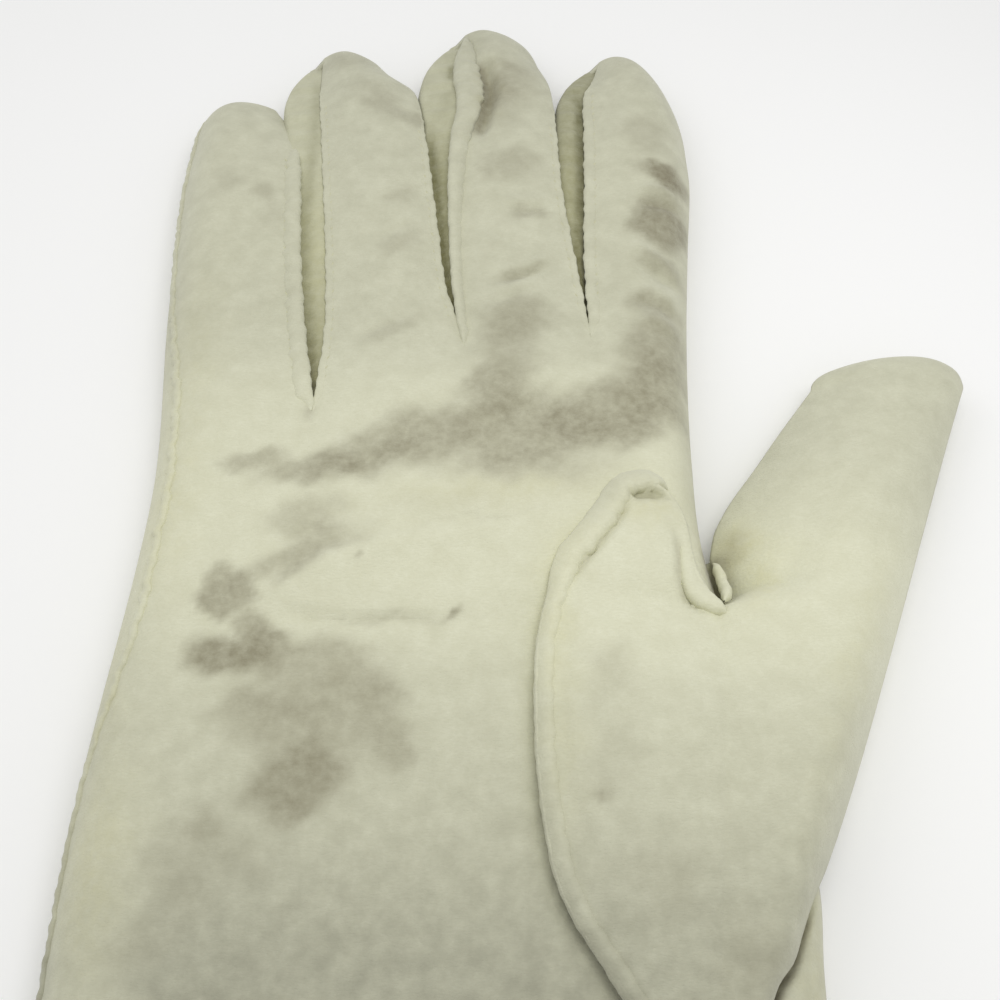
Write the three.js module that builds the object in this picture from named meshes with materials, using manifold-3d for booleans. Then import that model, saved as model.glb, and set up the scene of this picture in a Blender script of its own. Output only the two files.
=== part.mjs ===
// A lady's right-hand glove of suede-finished cotton cloth, lying on its back with the palm up.
// Millimetres, +Z up, fingers along +Y, thumb towards +X. The origin is under the middle of the palm,
// on the flat underside. Each piece is one open sheet of cloth given its thickness, so it is hollow.

import * as THREE from 'three';
import { mergeVertices } from 'three/addons/utils/BufferGeometryUtils.js';
import Module from 'manifold-3d';

const wasm = await Module();
wasm.setup();

// Cloth and seams
const CLOTH = 1.1;
const HEM_CLOTH = 1.9;
const SEAM_GAP = 0.3;
const WELT_WIDTH = 2.4;
const WELT_HEIGHT = 1.0;
const WELT_RUN_IN = 9;
const SEAM_LAP = 1.4;

// Heights over the surface that the glove lies on
const EDGE_LEVEL = 5.5;
const FINGER_BASE_HEIGHT = 12.4;
const SEAM_DROP = 1.7;

// Lengths along the hand
const HEM_Y = -121;
const HEM_DEPTH = 7;
const FINGER_BASE_Y = 31.8;

// Number of strips of facets
const PALM_ROWS = [HEM_Y, HEM_Y + HEM_DEPTH, -101, -88, -76, -64, -53, -42, -31, -21, -11, -3, 6];
const CROTCH_ROWS = [15.7, 22, 29.7, FINGER_BASE_Y];
const FINGER_STEPS = [0.1, 0.22, 0.35, 0.48, 0.6, 0.7, 0.79, 0.87, 0.93];
const TIP_STEPS = [0.4, 0.75];
const ROW_CLEAR = 0.35;

// Height of the palm side along the hand, below the fingers
const PALM_HEIGHTS = [
  { y: -121, height: 9.5 },
  { y: -96, height: 11 },
  { y: -73, height: 13 },
  { y: -40, height: 14.5 },
  { y: -5, height: 14.8 },
  { y: 16, height: 13.6 },
  { y: FINGER_BASE_Y, height: FINGER_BASE_HEIGHT },
];

// The outer edges of the hand in plan, up to where the fingertips start to round
const ULNAR_EDGE = [
  { y: -121, x: -45.5 },
  { y: -96, x: -45.8 },
  { y: -60, x: -46.3 },
  { y: -42, x: -45.9 },
  { y: -10, x: -43.5 },
  { y: 8, x: -43.1 },
  { y: 38, x: -45.6 },
  { y: 67, x: -46.9 },
  { y: 82, x: -46.4 },
];
const FOLD_EDGE = [
  { y: -121, x: 51.5 },
  { y: -96, x: 52.2 },
  { y: -70, x: 53.4 },
  { y: -57, x: 54.1 },
  { y: -34, x: 48.8 },
  { y: -9, x: 43.3 },
  { y: 8, x: 42.8 },
  { y: 31, x: 43.8 },
  { y: 54, x: 45.8 },
  { y: 70, x: 47.4 },
  { y: 80, x: 47.3 },
];

// The slits between the fingers. Each side has the seam's place on the palm side and on the back.
const SLITS = [
  {
    name: 'little_ring',
    crotch: { x: -17.8, y: 15.7 },
    hemX: -21,
    left: [
      { y: 15.7, palm: -17.8, back: -17.8 },
      { y: 32, palm: -20.4, back: -21.8 },
      { y: 50, palm: -22.4, back: -26.2 },
      { y: 66, palm: -23.8, back: -29.0 },
      { y: 76, palm: -24.9, back: -30.2 },
      { y: 84, palm: -27.2, back: -31.6 },
      { y: 91, palm: -31.6, back: -31.6 },
    ],
    right: [
      { y: 15.7, palm: -17.8, back: -17.8 },
      { y: 32, palm: -17.9, back: -20.8 },
      { y: 50, palm: -18.9, back: -24.6 },
      { y: 66, palm: -20.8, back: -26.6 },
      { y: 82, palm: -22.3, back: -29.4 },
      { y: 91, palm: -22.9, back: -30.6 },
      { y: 99, palm: -23.4, back: -28.8 },
      { y: 106.6, palm: -23.8, back: -23.8 },
    ],
  },
  {
    name: 'ring_middle',
    crotch: { x: 6.2, y: 29.7 },
    hemX: 5,
    left: [
      { y: 29.7, palm: 6.2, back: 6.2 },
      { y: 41, palm: 3.1, back: 0.4 },
      { y: 54, palm: 1.2, back: -2.8 },
      { y: 67, palm: -0.1, back: -4.6 },
      { y: 79, palm: -1.2, back: -5.8 },
      { y: 94.6, palm: -4.8, back: -7.6 },
      { y: 101.8, palm: -10.2, back: -10.2 },
    ],
    right: [
      { y: 29.7, palm: 6.2, back: 6.2 },
      { y: 41, palm: 4.0, back: 2.2 },
      { y: 51, palm: 2.8, back: 0.1 },
      { y: 67, palm: 1.8, back: -2.2 },
      { y: 83, palm: 3.4, back: -3.7 },
      { y: 94.6, palm: 6.2, back: -4.7 },
      { y: 104, palm: 6.2, back: -2.6 },
      { y: 113.8, palm: 4.6, back: 4.6 },
    ],
  },
  {
    name: 'middle_index',
    crotch: { x: 27, y: FINGER_BASE_Y },
    hemX: 29,
    left: [
      { y: FINGER_BASE_Y, palm: 27, back: 27 },
      { y: 45, palm: 25.4, back: 23.4 },
      { y: 54, palm: 24.3, back: 21.6 },
      { y: 66, palm: 23.1, back: 19.9 },
      { y: 85, palm: 22.3, back: 18.9 },
      { y: 96, palm: 21.0, back: 18.4 },
      { y: 104.4, palm: 18.0, back: 18.0 },
    ],
    right: [
      { y: FINGER_BASE_Y, palm: 27, back: 27 },
      { y: 47, palm: 26.7, back: 24.8 },
      { y: 66, palm: 26.6, back: 22.2 },
      { y: 82, palm: 26.9, back: 21.6 },
      { y: 92, palm: 28.0, back: 22.8 },
      { y: 99, palm: 30.4, back: 25.9 },
      { y: 105.5, palm: 31.8, back: 31.8 },
    ],
  },
];

// The fingertips in plan, and how square each is
const FINGERS = [
  { name: 'little', tip: { x: -38.3, y: 93 }, squareness: 2.3 },
  { name: 'ring', tip: { x: -18.8, y: 108.6 }, squareness: 1.8 },
  { name: 'middle', tip: { x: 8.6, y: 115.3 }, squareness: 1.7 },
  { name: 'index', tip: { x: 34.8, y: 106.6 }, squareness: 1.85 },
];

// Dents and soft ridges of the palm side, as round hills with two radii, turned from X
const DENTS = [
  { x: -7, y: -23.5, along: 17, across: 2.6, turn: 0, rise: -0.7 },
  { x: -10, y: -14, along: 17, across: 3.6, turn: 22, rise: 0.7 },
  { x: 12, y: 10, along: 26, across: 9, turn: 8, rise: -0.9 },
  { x: -28, y: -4, along: 9, across: 14, turn: 0, rise: -0.6 },
  { x: -14, y: -48, along: 22, across: 10, turn: -12, rise: -0.8 },
  { x: 16.5, y: 43.5, along: 5, across: 2, turn: 14, rise: -0.6 },
  { x: 16.5, y: 58.2, along: 4, across: 1.8, turn: 12, rise: -0.5 },
  { x: 41, y: 60.8, along: 5, across: 2.2, turn: 24, rise: -0.6 },
  { x: 40, y: 43, along: 5, across: 2.2, turn: 22, rise: -0.6 },
];

// The thumb's seam on the palm, its folded outer edge and its inner edge, in plan
const THUMB_BOTTOM = { x: 37, y: -88 };
const THUMB_SEAM = [
  { y: -88, x: 36.5 },
  { y: -80, x: 30.4 },
  { y: -72, x: 25.4 },
  { y: -62, x: 19.6 },
  { y: -50, x: 17.2 },
  { y: -38, x: 16.6 },
  { y: -27, x: 17.2 },
  { y: -18, x: 19.6 },
  { y: -11, x: 23.6 },
  { y: -5, x: 27.8 },
];
const ARCH_TOP = { x: 33, y: -0.6 };
const TONGUE_TIP = { x: 43.2, y: -21.2 };
const TONGUE_TOP_X = 37.6;
const TONGUE_CLEAR = 0.9;
const TUBE_CLOSES_Y = -17;
const LAP_ENDS_Y = -57;
const UNDER_REACH = 0.45;
const THUMB_FOLD = [
  { y: -88, x: 37.5 },
  { y: -80, x: 43.4 },
  { y: -70, x: 48.4 },
  { y: -62, x: 52.2 },
  { y: -57, x: 55.1 },
  { y: -44, x: 61.2 },
  { y: -26, x: 68.8 },
  { y: -5, x: 77.4 },
  { y: 12, x: 84.4 },
  { y: 23, x: 89.1 },
];
const THUMB_INNER = [
  { y: -9.4, x: 44.9 },
  { y: -4, x: 45.7 },
  { y: 1, x: 48.3 },
  { y: 7, x: 52.6 },
  { y: 14, x: 57.4 },
  { y: 23, x: 63.9 },
];
const THUMB_TIP = { x: 80, y: 29.3 };
const THUMB_HEIGHTS = [
  { y: -88, height: 15.2 },
  { y: -74, height: 17 },
  { y: -56, height: 19 },
  { y: -30, height: 19 },
  { y: -12, height: 16 },
  { y: 4, height: 14 },
  { y: 20, height: 11.5 },
  { y: 29.3, height: 10.5 },
];

const clamp = (value, low, high) => Math.min(high, Math.max(low, value));
const mix = (a, b, t) => a + (b - a) * t;
const smooth = (t) => clamp(t, 0, 1) ** 2 * (3 - 2 * clamp(t, 0, 1));

// A smooth line x(y) through a table's rows: cubic pieces whose slope at a row joins its neighbours
function lineThrough(rows, column = 'x') {
  const slopeAt = (i) => {
    const before = rows[Math.max(0, i - 1)];
    const after = rows[Math.min(rows.length - 1, i + 1)];
    return (after[column] - before[column]) / (after.y - before.y);
  };
  return (y) => {
    const inside = clamp(y, rows[0].y, rows[rows.length - 1].y);
    const i = Math.max(0, rows.findLastIndex((row, k) => row.y <= inside && k < rows.length - 1));
    const span = rows[i + 1].y - rows[i].y;
    const t = (inside - rows[i].y) / span;
    const start = rows[i][column];
    const end = rows[i + 1][column];
    return start * (1 + 2 * t) * (1 - t) ** 2 + span * slopeAt(i) * t * (1 - t) ** 2
      + end * t ** 2 * (3 - 2 * t) + span * slopeAt(i + 1) * t ** 2 * (t - 1);
  };
}

const ulnarEdge = lineThrough(ULNAR_EDGE);
const foldEdge = lineThrough(FOLD_EDGE);
const palmHeight = lineThrough(PALM_HEIGHTS, 'height');
const thumbSeam = lineThrough(THUMB_SEAM);
const thumbFold = lineThrough(THUMB_FOLD);
const thumbInner = lineThrough(THUMB_INNER);
const thumbHeight = lineThrough(THUMB_HEIGHTS, 'height');

// One side of a finger's strip: its edge in plan on both cloth sides, and how far the two are apart
function stripEdge(finger, slit, slitSide, outerEdge, outerStart) {
  const round = (y, joinX, joinY) => {
    const s = clamp((y - joinY) / (finger.tip.y - joinY), 0, 1);
    return finger.tip.x + (joinX - finger.tip.x) * (1 - s ** finger.squareness) ** (1 / finger.squareness);
  };
  if (!slit) {
    const at = (y) => (y < outerStart ? outerEdge(y) : round(y, outerEdge(outerStart), outerStart));
    return { palm: at, back: at, open: () => 0, joinY: outerStart, slit: null };
  }
  const rows = slit[slitSide];
  const join = rows[rows.length - 1];
  const below = (y) => mix(slit.crotch.x, slit.hemX, (slit.crotch.y - y) / (slit.crotch.y - HEM_Y));
  const place = (column) => {
    const line = lineThrough(rows, column);
    return (y) => {
      if (y <= slit.crotch.y) return below(y);
      return y < join.y ? line(y) : round(y, join[column], join.y);
    };
  };
  const open = (y) => 1 - clamp((y - slit.crotch.y) / (join.y - slit.crotch.y), 0, 1) ** 6;
  return { palm: place('palm'), back: place('back'), open, joinY: join.y, slit };
}

// The four strips of the hand, little finger first
const STRIPS = FINGERS.map((finger, i) => ({
  ...finger,
  left: stripEdge(finger, SLITS[i - 1], 'right', ulnarEdge, ULNAR_EDGE[ULNAR_EDGE.length - 1].y),
  right: stripEdge(finger, SLITS[i], 'left', foldEdge, FOLD_EDGE[FOLD_EDGE.length - 1].y),
}));

// How far up the finger a row is, from 0 at the fingers' base to 1 at the tip
const alongFinger = (strip, y) => clamp((y - FINGER_BASE_Y) / (strip.tip.y - FINGER_BASE_Y), 0, 1);

// The height of a strip's palm side at its middle: the palm's, then a finger that closes at its tip
function topHeight(strip, y) {
  if (y < FINGER_BASE_Y) return palmHeight(y);
  const t = alongFinger(strip, y);
  return EDGE_LEVEL + (FINGER_BASE_HEIGHT - EDGE_LEVEL) * Math.sqrt(1 - t ** 5);
}

// The height of a strip's back: flat on the surface, and lifted only at the fingertip
function bottomHeight(strip, y) {
  const t = clamp((alongFinger(strip, y) - 0.75) / 0.25, 0, 1);
  return EDGE_LEVEL * (1 - Math.sqrt(1 - t ** 3));
}

// The height of a strip's edge on the palm side. Below a crotch the dip beside the seam fades away.
function palmEdgeHeight(strip, edge, y) {
  if (!edge.slit) return EDGE_LEVEL;
  const fade = smooth((edge.slit.crotch.y - y) / 15);
  const seam = topHeight(strip, y) - SEAM_DROP * (1 - fade);
  return y < edge.joinY ? mix(EDGE_LEVEL, seam, edge.open(y)) : EDGE_LEVEL;
}

function backEdgeHeight(strip, edge, y) {
  if (!edge.slit) return EDGE_LEVEL;
  return mix(EDGE_LEVEL, bottomHeight(strip, y), edge.open(y));
}

// Sum of the dents at a place in plan
function dents(x, y) {
  return DENTS.reduce((sum, dent) => {
    const turn = THREE.MathUtils.degToRad(dent.turn);
    const dx = x - dent.x;
    const dy = y - dent.y;
    const u = (dx * Math.cos(turn) + dy * Math.sin(turn)) / dent.along;
    const v = (dy * Math.cos(turn) - dx * Math.sin(turn)) / dent.across;
    return sum + dent.rise * Math.exp(-u * u - v * v);
  }, 0);
}

// The palm side of a strip at u across it: a plateau that falls off to each edge by a power of u
function palmSide(strip, u, y) {
  const left = strip.left.palm(y);
  const right = strip.right.palm(y);
  const x = mix(left, right, u);
  const top = topHeight(strip, y);
  const leftPower = strip.left.slit ? 3 : 5;
  const rightPower = strip.right.slit ? 3 : 5;
  const leftFall = (top - palmEdgeHeight(strip, strip.left, y)) * (1 - u) ** leftPower;
  const rightFall = (top - palmEdgeHeight(strip, strip.right, y)) * u ** rightPower;
  const inside = Math.min(1, 6 * u * (1 - u)) * smooth((1 - alongFinger(strip, y)) / 0.1);
  return new THREE.Vector3(x, y, top - leftFall - rightFall + dents(x, y) * inside);
}

// The back of a strip: flat, turned up to the edge level at an outer edge and at the fingertip
function backSide(strip, u, y) {
  const x = mix(strip.left.back(y), strip.right.back(y), u);
  const bottom = bottomHeight(strip, y);
  const edgeRise = (edge, across) => {
    const reach = edge.slit ? 0.5 : 0.34;
    return (backEdgeHeight(strip, edge, y) - bottom) * clamp(1 - across / reach, 0, 1) ** 2.6;
  };
  return new THREE.Vector3(x, y, bottom + edgeRise(strip.left, u) + edgeRise(strip.right, 1 - u));
}

// Height of the palm side at any place in plan, below the fingers
function palmHeightAt(x, y) {
  const strip = STRIPS.find((one) => x <= one.right.palm(y)) ?? STRIPS[STRIPS.length - 1];
  const left = strip.left.palm(y);
  const u = clamp((x - left) / (strip.right.palm(y) - left), 0, 1);
  return palmSide(strip, u, y).z;
}

// A sheet of cloth: vertices and triangles of its outer face, built from grids of points
class Sheet {
  constructor() {
    this.points = [];
    this.keys = new Map();
    this.triangles = [];
  }

  index(point) {
    const key = [point.x, point.y, point.z].map((value) => Math.round(value * 500)).join();
    if (!this.keys.has(key)) {
      this.keys.set(key, this.points.length);
      this.points.push(point.clone());
    }
    return this.keys.get(key);
  }

  // A grid whose rows run up and whose columns run right has its face towards the viewer
  addGrid(rows, faceUp = true) {
    const ids = rows.map((row) => row.map((point) => this.index(point)));
    for (let i = 0; i + 1 < ids.length; i += 1) {
      for (let j = 0; j + 1 < ids[i].length; j += 1) {
        const [a, b] = [ids[i][j], ids[i][j + 1]];
        const [c, d] = [ids[i + 1][j + 1], ids[i + 1][j]];
        this.addTriangle(a, b, c, faceUp);
        this.addTriangle(a, c, d, faceUp);
      }
    }
  }

  addTriangle(a, b, c, faceUp) {
    if (a === b || b === c || a === c) return;
    this.triangles.push(faceUp ? [a, b, c] : [a, c, b]);
  }

  normals() {
    const sums = this.points.map(() => new THREE.Vector3());
    for (const [a, b, c] of this.triangles) {
      const ab = this.points[b].clone().sub(this.points[a]);
      const ac = this.points[c].clone().sub(this.points[a]);
      const face = ab.cross(ac);
      for (const i of [a, b, c]) sums[i].add(face);
    }
    return sums.map((sum) => sum.normalize());
  }

  // Edges that belong to one triangle only, in that triangle's direction
  openEdges() {
    const edges = new Map();
    for (const [a, b, c] of this.triangles) {
      for (const [from, to] of [[a, b], [b, c], [c, a]]) edges.set(`${from},${to}`, [from, to]);
    }
    return [...edges.values()].filter(([from, to]) => !edges.has(`${to},${from}`));
  }

  // The closed body between the outer face and the same face moved in by the cloth's thickness.
  // At an open edge the move is straight up or down, or square to a wrist edge.
  thicken(thickness, edgeDirection) {
    const normals = this.normals();
    const rim = this.openEdges();
    for (const i of new Set(rim.flat())) normals[i] = edgeDirection(this.points[i], normals[i]);
    const count = this.points.length;
    const inner = this.points.map((point, i) => point.clone().addScaledVector(normals[i], -thickness(point)));
    const indices = this.triangles.flatMap(([a, b, c]) => [a, b, c, a + count, c + count, b + count]);
    for (const [from, to] of rim) indices.push(to, from, from + count, to, from + count, to + count);
    const geometry = new THREE.BufferGeometry();
    const positions = [...this.points, ...inner].flatMap((point) => point.toArray());
    geometry.setAttribute('position', new THREE.Float32BufferAttribute(positions, 3));
    geometry.setIndex(indices);
    return geometry;
  }
}

// Columns across a strip's palm side, with the welt's own columns at an open edge or at the ulnar seam
function palmColumns(strip, y) {
  const width = strip.right.palm(y) - strip.left.palm(y);
  const welt = Math.min(WELT_WIDTH / Math.max(width, 1), 0.2);
  return [0, welt, welt * 1.5, 0.35, 0.5, 0.65, 1 - welt * 1.5, 1 - welt, 1];
}

// The welt stands on the outer two columns beside a slit, and on the second one along the ulnar seam
function weltRise(strip, column, last, y) {
  const side = column <= 1 ? strip.left : strip.right;
  const onWelt = column <= 1 || column >= last - 1;
  if (!onWelt) return 0;
  if (side.slit) return y > side.slit.crotch.y && y < side.joinY ? WELT_HEIGHT : 0;
  const isUlnarSeam = side === STRIPS[0].left && column === 1;
  return isUlnarSeam && y < side.joinY ? 0.7 * WELT_HEIGHT : 0;
}

// Rows up a strip. The rows where a slit ends and the fingertip are kept, and others give way to them.
function stripRows(strip) {
  const span = strip.tip.y - FINGER_BASE_Y;
  const kept = [strip.left.joinY, strip.right.joinY, strip.tip.y];
  const lastJoin = Math.max(strip.left.joinY, strip.right.joinY);
  const finger = FINGER_STEPS.map((t) => FINGER_BASE_Y + t * span);
  const tip = TIP_STEPS.map((t) => mix(lastJoin, strip.tip.y, t));
  const isClear = (y) => kept.every((one) => Math.abs(one - y) > ROW_CLEAR);
  const rows = [...PALM_ROWS, ...CROTCH_ROWS, ...finger, ...tip].filter(isClear);
  return [...rows, ...kept].sort((a, b) => a - b);
}

// The thumb's hole in plan, inset from the thumb's edge: left of it the palm, at its top right the tongue.
// On the right the outline runs well outside the hand, so that the hand's folded edge is open there.
function thumbHoleOutline(inset) {
  const bottom = THUMB_BOTTOM.y + 5;
  const outsideX = FOLD_EDGE[0].x + 18;
  const seam = [];
  for (let y = bottom; y < -4; y += 5) seam.push([thumbSeam(y) + inset, y]);
  const arch = [30.6 + 0.4 * inset, TONGUE_TOP_X - 3].map((x) => [x, ARCH_TOP.y - 1.2 - inset]);
  const tongue = [
    [TONGUE_TOP_X - inset, -6],
    [TONGUE_TOP_X + 1.7 - inset, -14],
    [TONGUE_TIP.x, TONGUE_TIP.y - inset],
    [foldEdge(TUBE_CLOSES_Y) + 0.5, TUBE_CLOSES_Y - 0.8],
  ];
  const outside = [[outsideX, TUBE_CLOSES_Y - 0.8], [outsideX, LAP_ENDS_Y + 1]];
  const lap = [LAP_ENDS_Y + 1, -64, -74, bottom].map((y) => [thumbFold(y) - inset, y]);
  return [...seam, ...arch, ...tongue, ...outside, ...lap];
}

function toManifold(geometry) {
  const position = geometry.clone();
  for (const name of ['normal', 'uv']) position.deleteAttribute(name);
  const merged = mergeVertices(position, 1e-4);
  return new wasm.Manifold(new wasm.Mesh({
    numProp: 3,
    vertProperties: new Float32Array(merged.attributes.position.array),
    triVerts: new Uint32Array(merged.index.array),
  }));
}

function fromManifold(solid) {
  const mesh = solid.getMesh();
  const geometry = new THREE.BufferGeometry();
  geometry.setAttribute('position', new THREE.BufferAttribute(new Float32Array(mesh.vertProperties), 3));
  geometry.setIndex(new THREE.BufferAttribute(new Uint32Array(mesh.triVerts), 1));
  return geometry;
}

// At a slit's edge the cloth's thickness is upright, and at the wrist it is square to the wrist's round
function clothEdgeDirection(point, normal) {
  if (point.y < HEM_Y + 0.1) return new THREE.Vector3(normal.x, 0, normal.z).normalize();
  return new THREE.Vector3(0, 0, Math.sign(normal.z));
}

// The hand piece: four palm strips and four back strips, with the thumb's hole cut through the palm side
function makeTrank() {
  const sheet = new Sheet();
  for (const strip of STRIPS) {
    const rows = stripRows(strip);
    const palm = rows.map((y) => {
      const columns = palmColumns(strip, y);
      return columns.map((u, j) => {
        const point = palmSide(strip, u, y);
        point.z += weltRise(strip, j, columns.length - 1, y);
        return point;
      });
    });
    const backColumns = [0, 0.12, 0.34, 0.66, 0.88, 1];
    const back = rows.map((y) => backColumns.map((u) => backSide(strip, u, y)));
    sheet.addGrid(palm);
    sheet.addGrid(back, false);
  }
  const cloth = (point) => (point.y < HEM_Y + HEM_DEPTH + 0.1 ? HEM_CLOTH : CLOTH);
  const shell = sheet.thicken(cloth, clothEdgeDirection);
  const hole = new THREE.Shape(thumbHoleOutline(SEAM_LAP).map(([x, y]) => new THREE.Vector2(x, y)));
  const cutter = new THREE.ExtrudeGeometry(hole, { depth: 30, bevelEnabled: false });
  cutter.translate(0, 0, EDGE_LEVEL - 0.3);
  return fromManifold(toManifold(shell).subtract(toManifold(cutter)));
}

// A forked side wall: it runs up one finger's slit from its tip to the crotch and back up the other's.
// Its top edge stands under the palm side's edge and its lower edge over the back's.
function makeFourchette(slitNumber) {
  const slit = SLITS[slitNumber];
  const legs = [
    { strip: STRIPS[slitNumber], edge: STRIPS[slitNumber].right },
    { strip: STRIPS[slitNumber + 1], edge: STRIPS[slitNumber + 1].left },
  ];
  const steps = [0.915, 0.87, 0.82, 0.72, 0.61, 0.5, 0.39, 0.28, 0.18, 0.1, 0.04];
  const heights = [0, 0.33, 0.67, 1];
  const section = ({ strip, edge }, y) => {
    const weltStart = clamp((y - slit.crotch.y) / WELT_RUN_IN, 0, 1);
    const high = palmEdgeHeight(strip, edge, y) + WELT_HEIGHT * weltStart - CLOTH - SEAM_GAP;
    const low = backEdgeHeight(strip, edge, y) + CLOTH + SEAM_GAP;
    const inward = edge === strip.right ? -1 : 1;
    const hollow = 0.7 * smooth((y - slit.crotch.y) / 8);
    return heights.map((t) => {
      const x = mix(edge.back(y), edge.palm(y), t) + inward * hollow * 4 * t * (1 - t);
      return new THREE.Vector3(x, y, mix(low, high, t));
    });
  };
  const legRows = (leg) => steps.map((t) => section(leg, mix(slit.crotch.y, leg.edge.joinY, t)));
  const rows = [...legRows(legs[0]), section(legs[0], slit.crotch.y), ...legRows(legs[1]).reverse()];
  const sheet = new Sheet();
  sheet.addGrid(rows);
  return sheet.thicken(() => CLOTH - 0.1, (point, normal) => {
    const level = new THREE.Vector3(normal.x, normal.y, 0);
    return level.normalize();
  });
}

// Height of the thumb's cloth where it lies on the palm round its hole
const onPalm = (x, y) => palmHeightAt(x, y) + SEAM_GAP + 0.1 + CLOTH;

// Right end of the thumb's lobe: the tongue's left side, and below the tongue a line down to the point
function lobeRight(y) {
  if (y < TONGUE_TIP.y) {
    return mix(TONGUE_TIP.x, THUMB_BOTTOM.x, (TONGUE_TIP.y - y) / (TONGUE_TIP.y - THUMB_BOTTOM.y));
  }
  const t = (y - TONGUE_TIP.y) / (ARCH_TOP.y - TONGUE_TIP.y);
  return mix(TONGUE_TIP.x, ARCH_TOP.x, t ** 3) - 3.2 * Math.sin(Math.PI * Math.min(1, t * 1.15)) * (1 - t);
}

function lobeLeft(y) {
  const start = THUMB_SEAM[THUMB_SEAM.length - 1].y;
  if (y < start) return thumbSeam(y);
  const s = (y - start) / (ARCH_TOP.y - start);
  return ARCH_TOP.x + (thumbSeam(start) - ARCH_TOP.x) * Math.sqrt(1 - s * s);
}

// The line between the lobe and the tube, from the seam's level at the tongue to the thumb's full height
function sharedHeight(y) {
  const full = thumbHeight(y);
  const rise = smooth((TONGUE_TIP.y - y) / 20);
  const end = smooth((y - THUMB_BOTTOM.y) / 16);
  const x = lobeRight(y);
  return mix(onPalm(x, y) + TONGUE_CLEAR * end, full, rise * end);
}

function lobePoint(u, y) {
  const left = lobeLeft(y);
  const right = lobeRight(y);
  const x = mix(left, right, u);
  const leftHeight = onPalm(left, y) + (u < 0.2 ? WELT_HEIGHT * 0.8 : 0);
  const rightHeight = y < TONGUE_TIP.y ? sharedHeight(y) : onPalm(right, y) + TONGUE_CLEAR;
  const arch = smooth((ARCH_TOP.y - y) / 12) * smooth((y - THUMB_BOTTOM.y) / 20);
  const crown = y < TONGUE_TIP.y ? 1.6 : 2.4;
  return new THREE.Vector3(x, y, mix(leftHeight, rightHeight, smooth(u)) + crown * arch * 4 * u * (1 - u));
}

function tubeLeft(y) {
  if (y < TONGUE_TIP.y) return lobeRight(y);
  const closeX = foldEdge(TUBE_CLOSES_Y) + 0.7;
  if (y < TUBE_CLOSES_Y) {
    return mix(TONGUE_TIP.x + 0.3, closeX, (y - TONGUE_TIP.y) / (TUBE_CLOSES_Y - TONGUE_TIP.y));
  }
  const innerStart = THUMB_INNER[0];
  if (y < innerStart.y) {
    const t = (y - TUBE_CLOSES_Y) / (innerStart.y - TUBE_CLOSES_Y);
    return mix(closeX, innerStart.x, t);
  }
  const innerEnd = THUMB_INNER[THUMB_INNER.length - 1];
  if (y < innerEnd.y) return thumbInner(y);
  const s = (y - innerEnd.y) / (THUMB_TIP.y - innerEnd.y);
  return THUMB_TIP.x + (innerEnd.x - THUMB_TIP.x) * Math.sqrt(1 - s * s);
}

function tubeRight(y) {
  const foldEnd = THUMB_FOLD[THUMB_FOLD.length - 1];
  if (y < foldEnd.y) return thumbFold(y);
  const s = (y - foldEnd.y) / (THUMB_TIP.y - foldEnd.y);
  return THUMB_TIP.x + (foldEnd.x - THUMB_TIP.x) * (1 - s ** 3) ** (1 / 3);
}

function tubeLeftHeight(y) {
  if (y <= TONGUE_TIP.y) return sharedHeight(y);
  const t = (y - TONGUE_TIP.y) / (TUBE_CLOSES_Y - TONGUE_TIP.y);
  return mix(onPalm(TONGUE_TIP.x, TONGUE_TIP.y) + TONGUE_CLEAR, EDGE_LEVEL, clamp(t, 0, 1));
}

// The outer edge lies on the palm below the lap's end, and beside the hand above it
function tubeRightHeight(y) {
  const onHand = onPalm(thumbFold(y), y);
  return mix(onHand, EDGE_LEVEL + 1, smooth((y - LAP_ENDS_Y + 3) / 6));
}

function tipClosing(y) {
  const start = 6;
  return Math.sqrt(1 - clamp((y - start) / (THUMB_TIP.y - start), 0, 1) ** 6);
}

function tubeTop(u, y) {
  const x = mix(tubeLeft(y), tubeRight(y), u);
  const edge = EDGE_LEVEL + 0.5;
  const left = tubeLeftHeight(y);
  const right = tubeRightHeight(y);
  const top = mix(edge, thumbHeight(y), tipClosing(y));
  const leftEdge = mix(edge, left, y > 6 ? tipClosing(y) : 1);
  const rightEdge = mix(edge, right, y > 6 ? tipClosing(y) : 1);
  const bottomEnd = smooth((y - THUMB_BOTTOM.y) / 14);
  const plateau = mix(Math.max(leftEdge, rightEdge), top, bottomEnd);
  const leftPower = y < TONGUE_TIP.y ? 2 : 4;
  const fall = (plateau - leftEdge) * (1 - u) ** leftPower + (plateau - rightEdge) * u ** 5;
  return new THREE.Vector3(x, y, plateau - fall);
}

// The thumb's underside lies on the surface beside the hand, from the fold back to the hand's edge
function tubeUnder(u, y) {
  const left = y < TUBE_CLOSES_Y ? foldEdge(y) + 0.7 : tubeLeft(y);
  const right = tubeRight(y);
  const x = mix(left, right, u);
  const edge = EDGE_LEVEL + 0.5;
  const closing = y > 6 ? tipClosing(y) : 1;
  const leftEdge = mix(edge, EDGE_LEVEL, closing);
  const rightEdge = mix(edge, tubeRightHeight(y), closing);
  const lift = smooth((-40 - y) / 17);
  const bottom = mix(edge, mix(0, EDGE_LEVEL, lift), closing);
  const rise = (height, across) => (height - bottom) * clamp(1 - across / UNDER_REACH, 0, 1) ** 2.6;
  return new THREE.Vector3(x, y, bottom + rise(leftEdge, u) + rise(rightEdge, 1 - u));
}

function thumbEdgeDirection(point, normal) {
  const besideHand = point.y > LAP_ENDS_Y && point.x > foldEdge(point.y);
  if (besideHand) return new THREE.Vector3(-0.6, 0, -0.8);
  return new THREE.Vector3(0, 0, Math.sign(normal.z) || 1);
}

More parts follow.
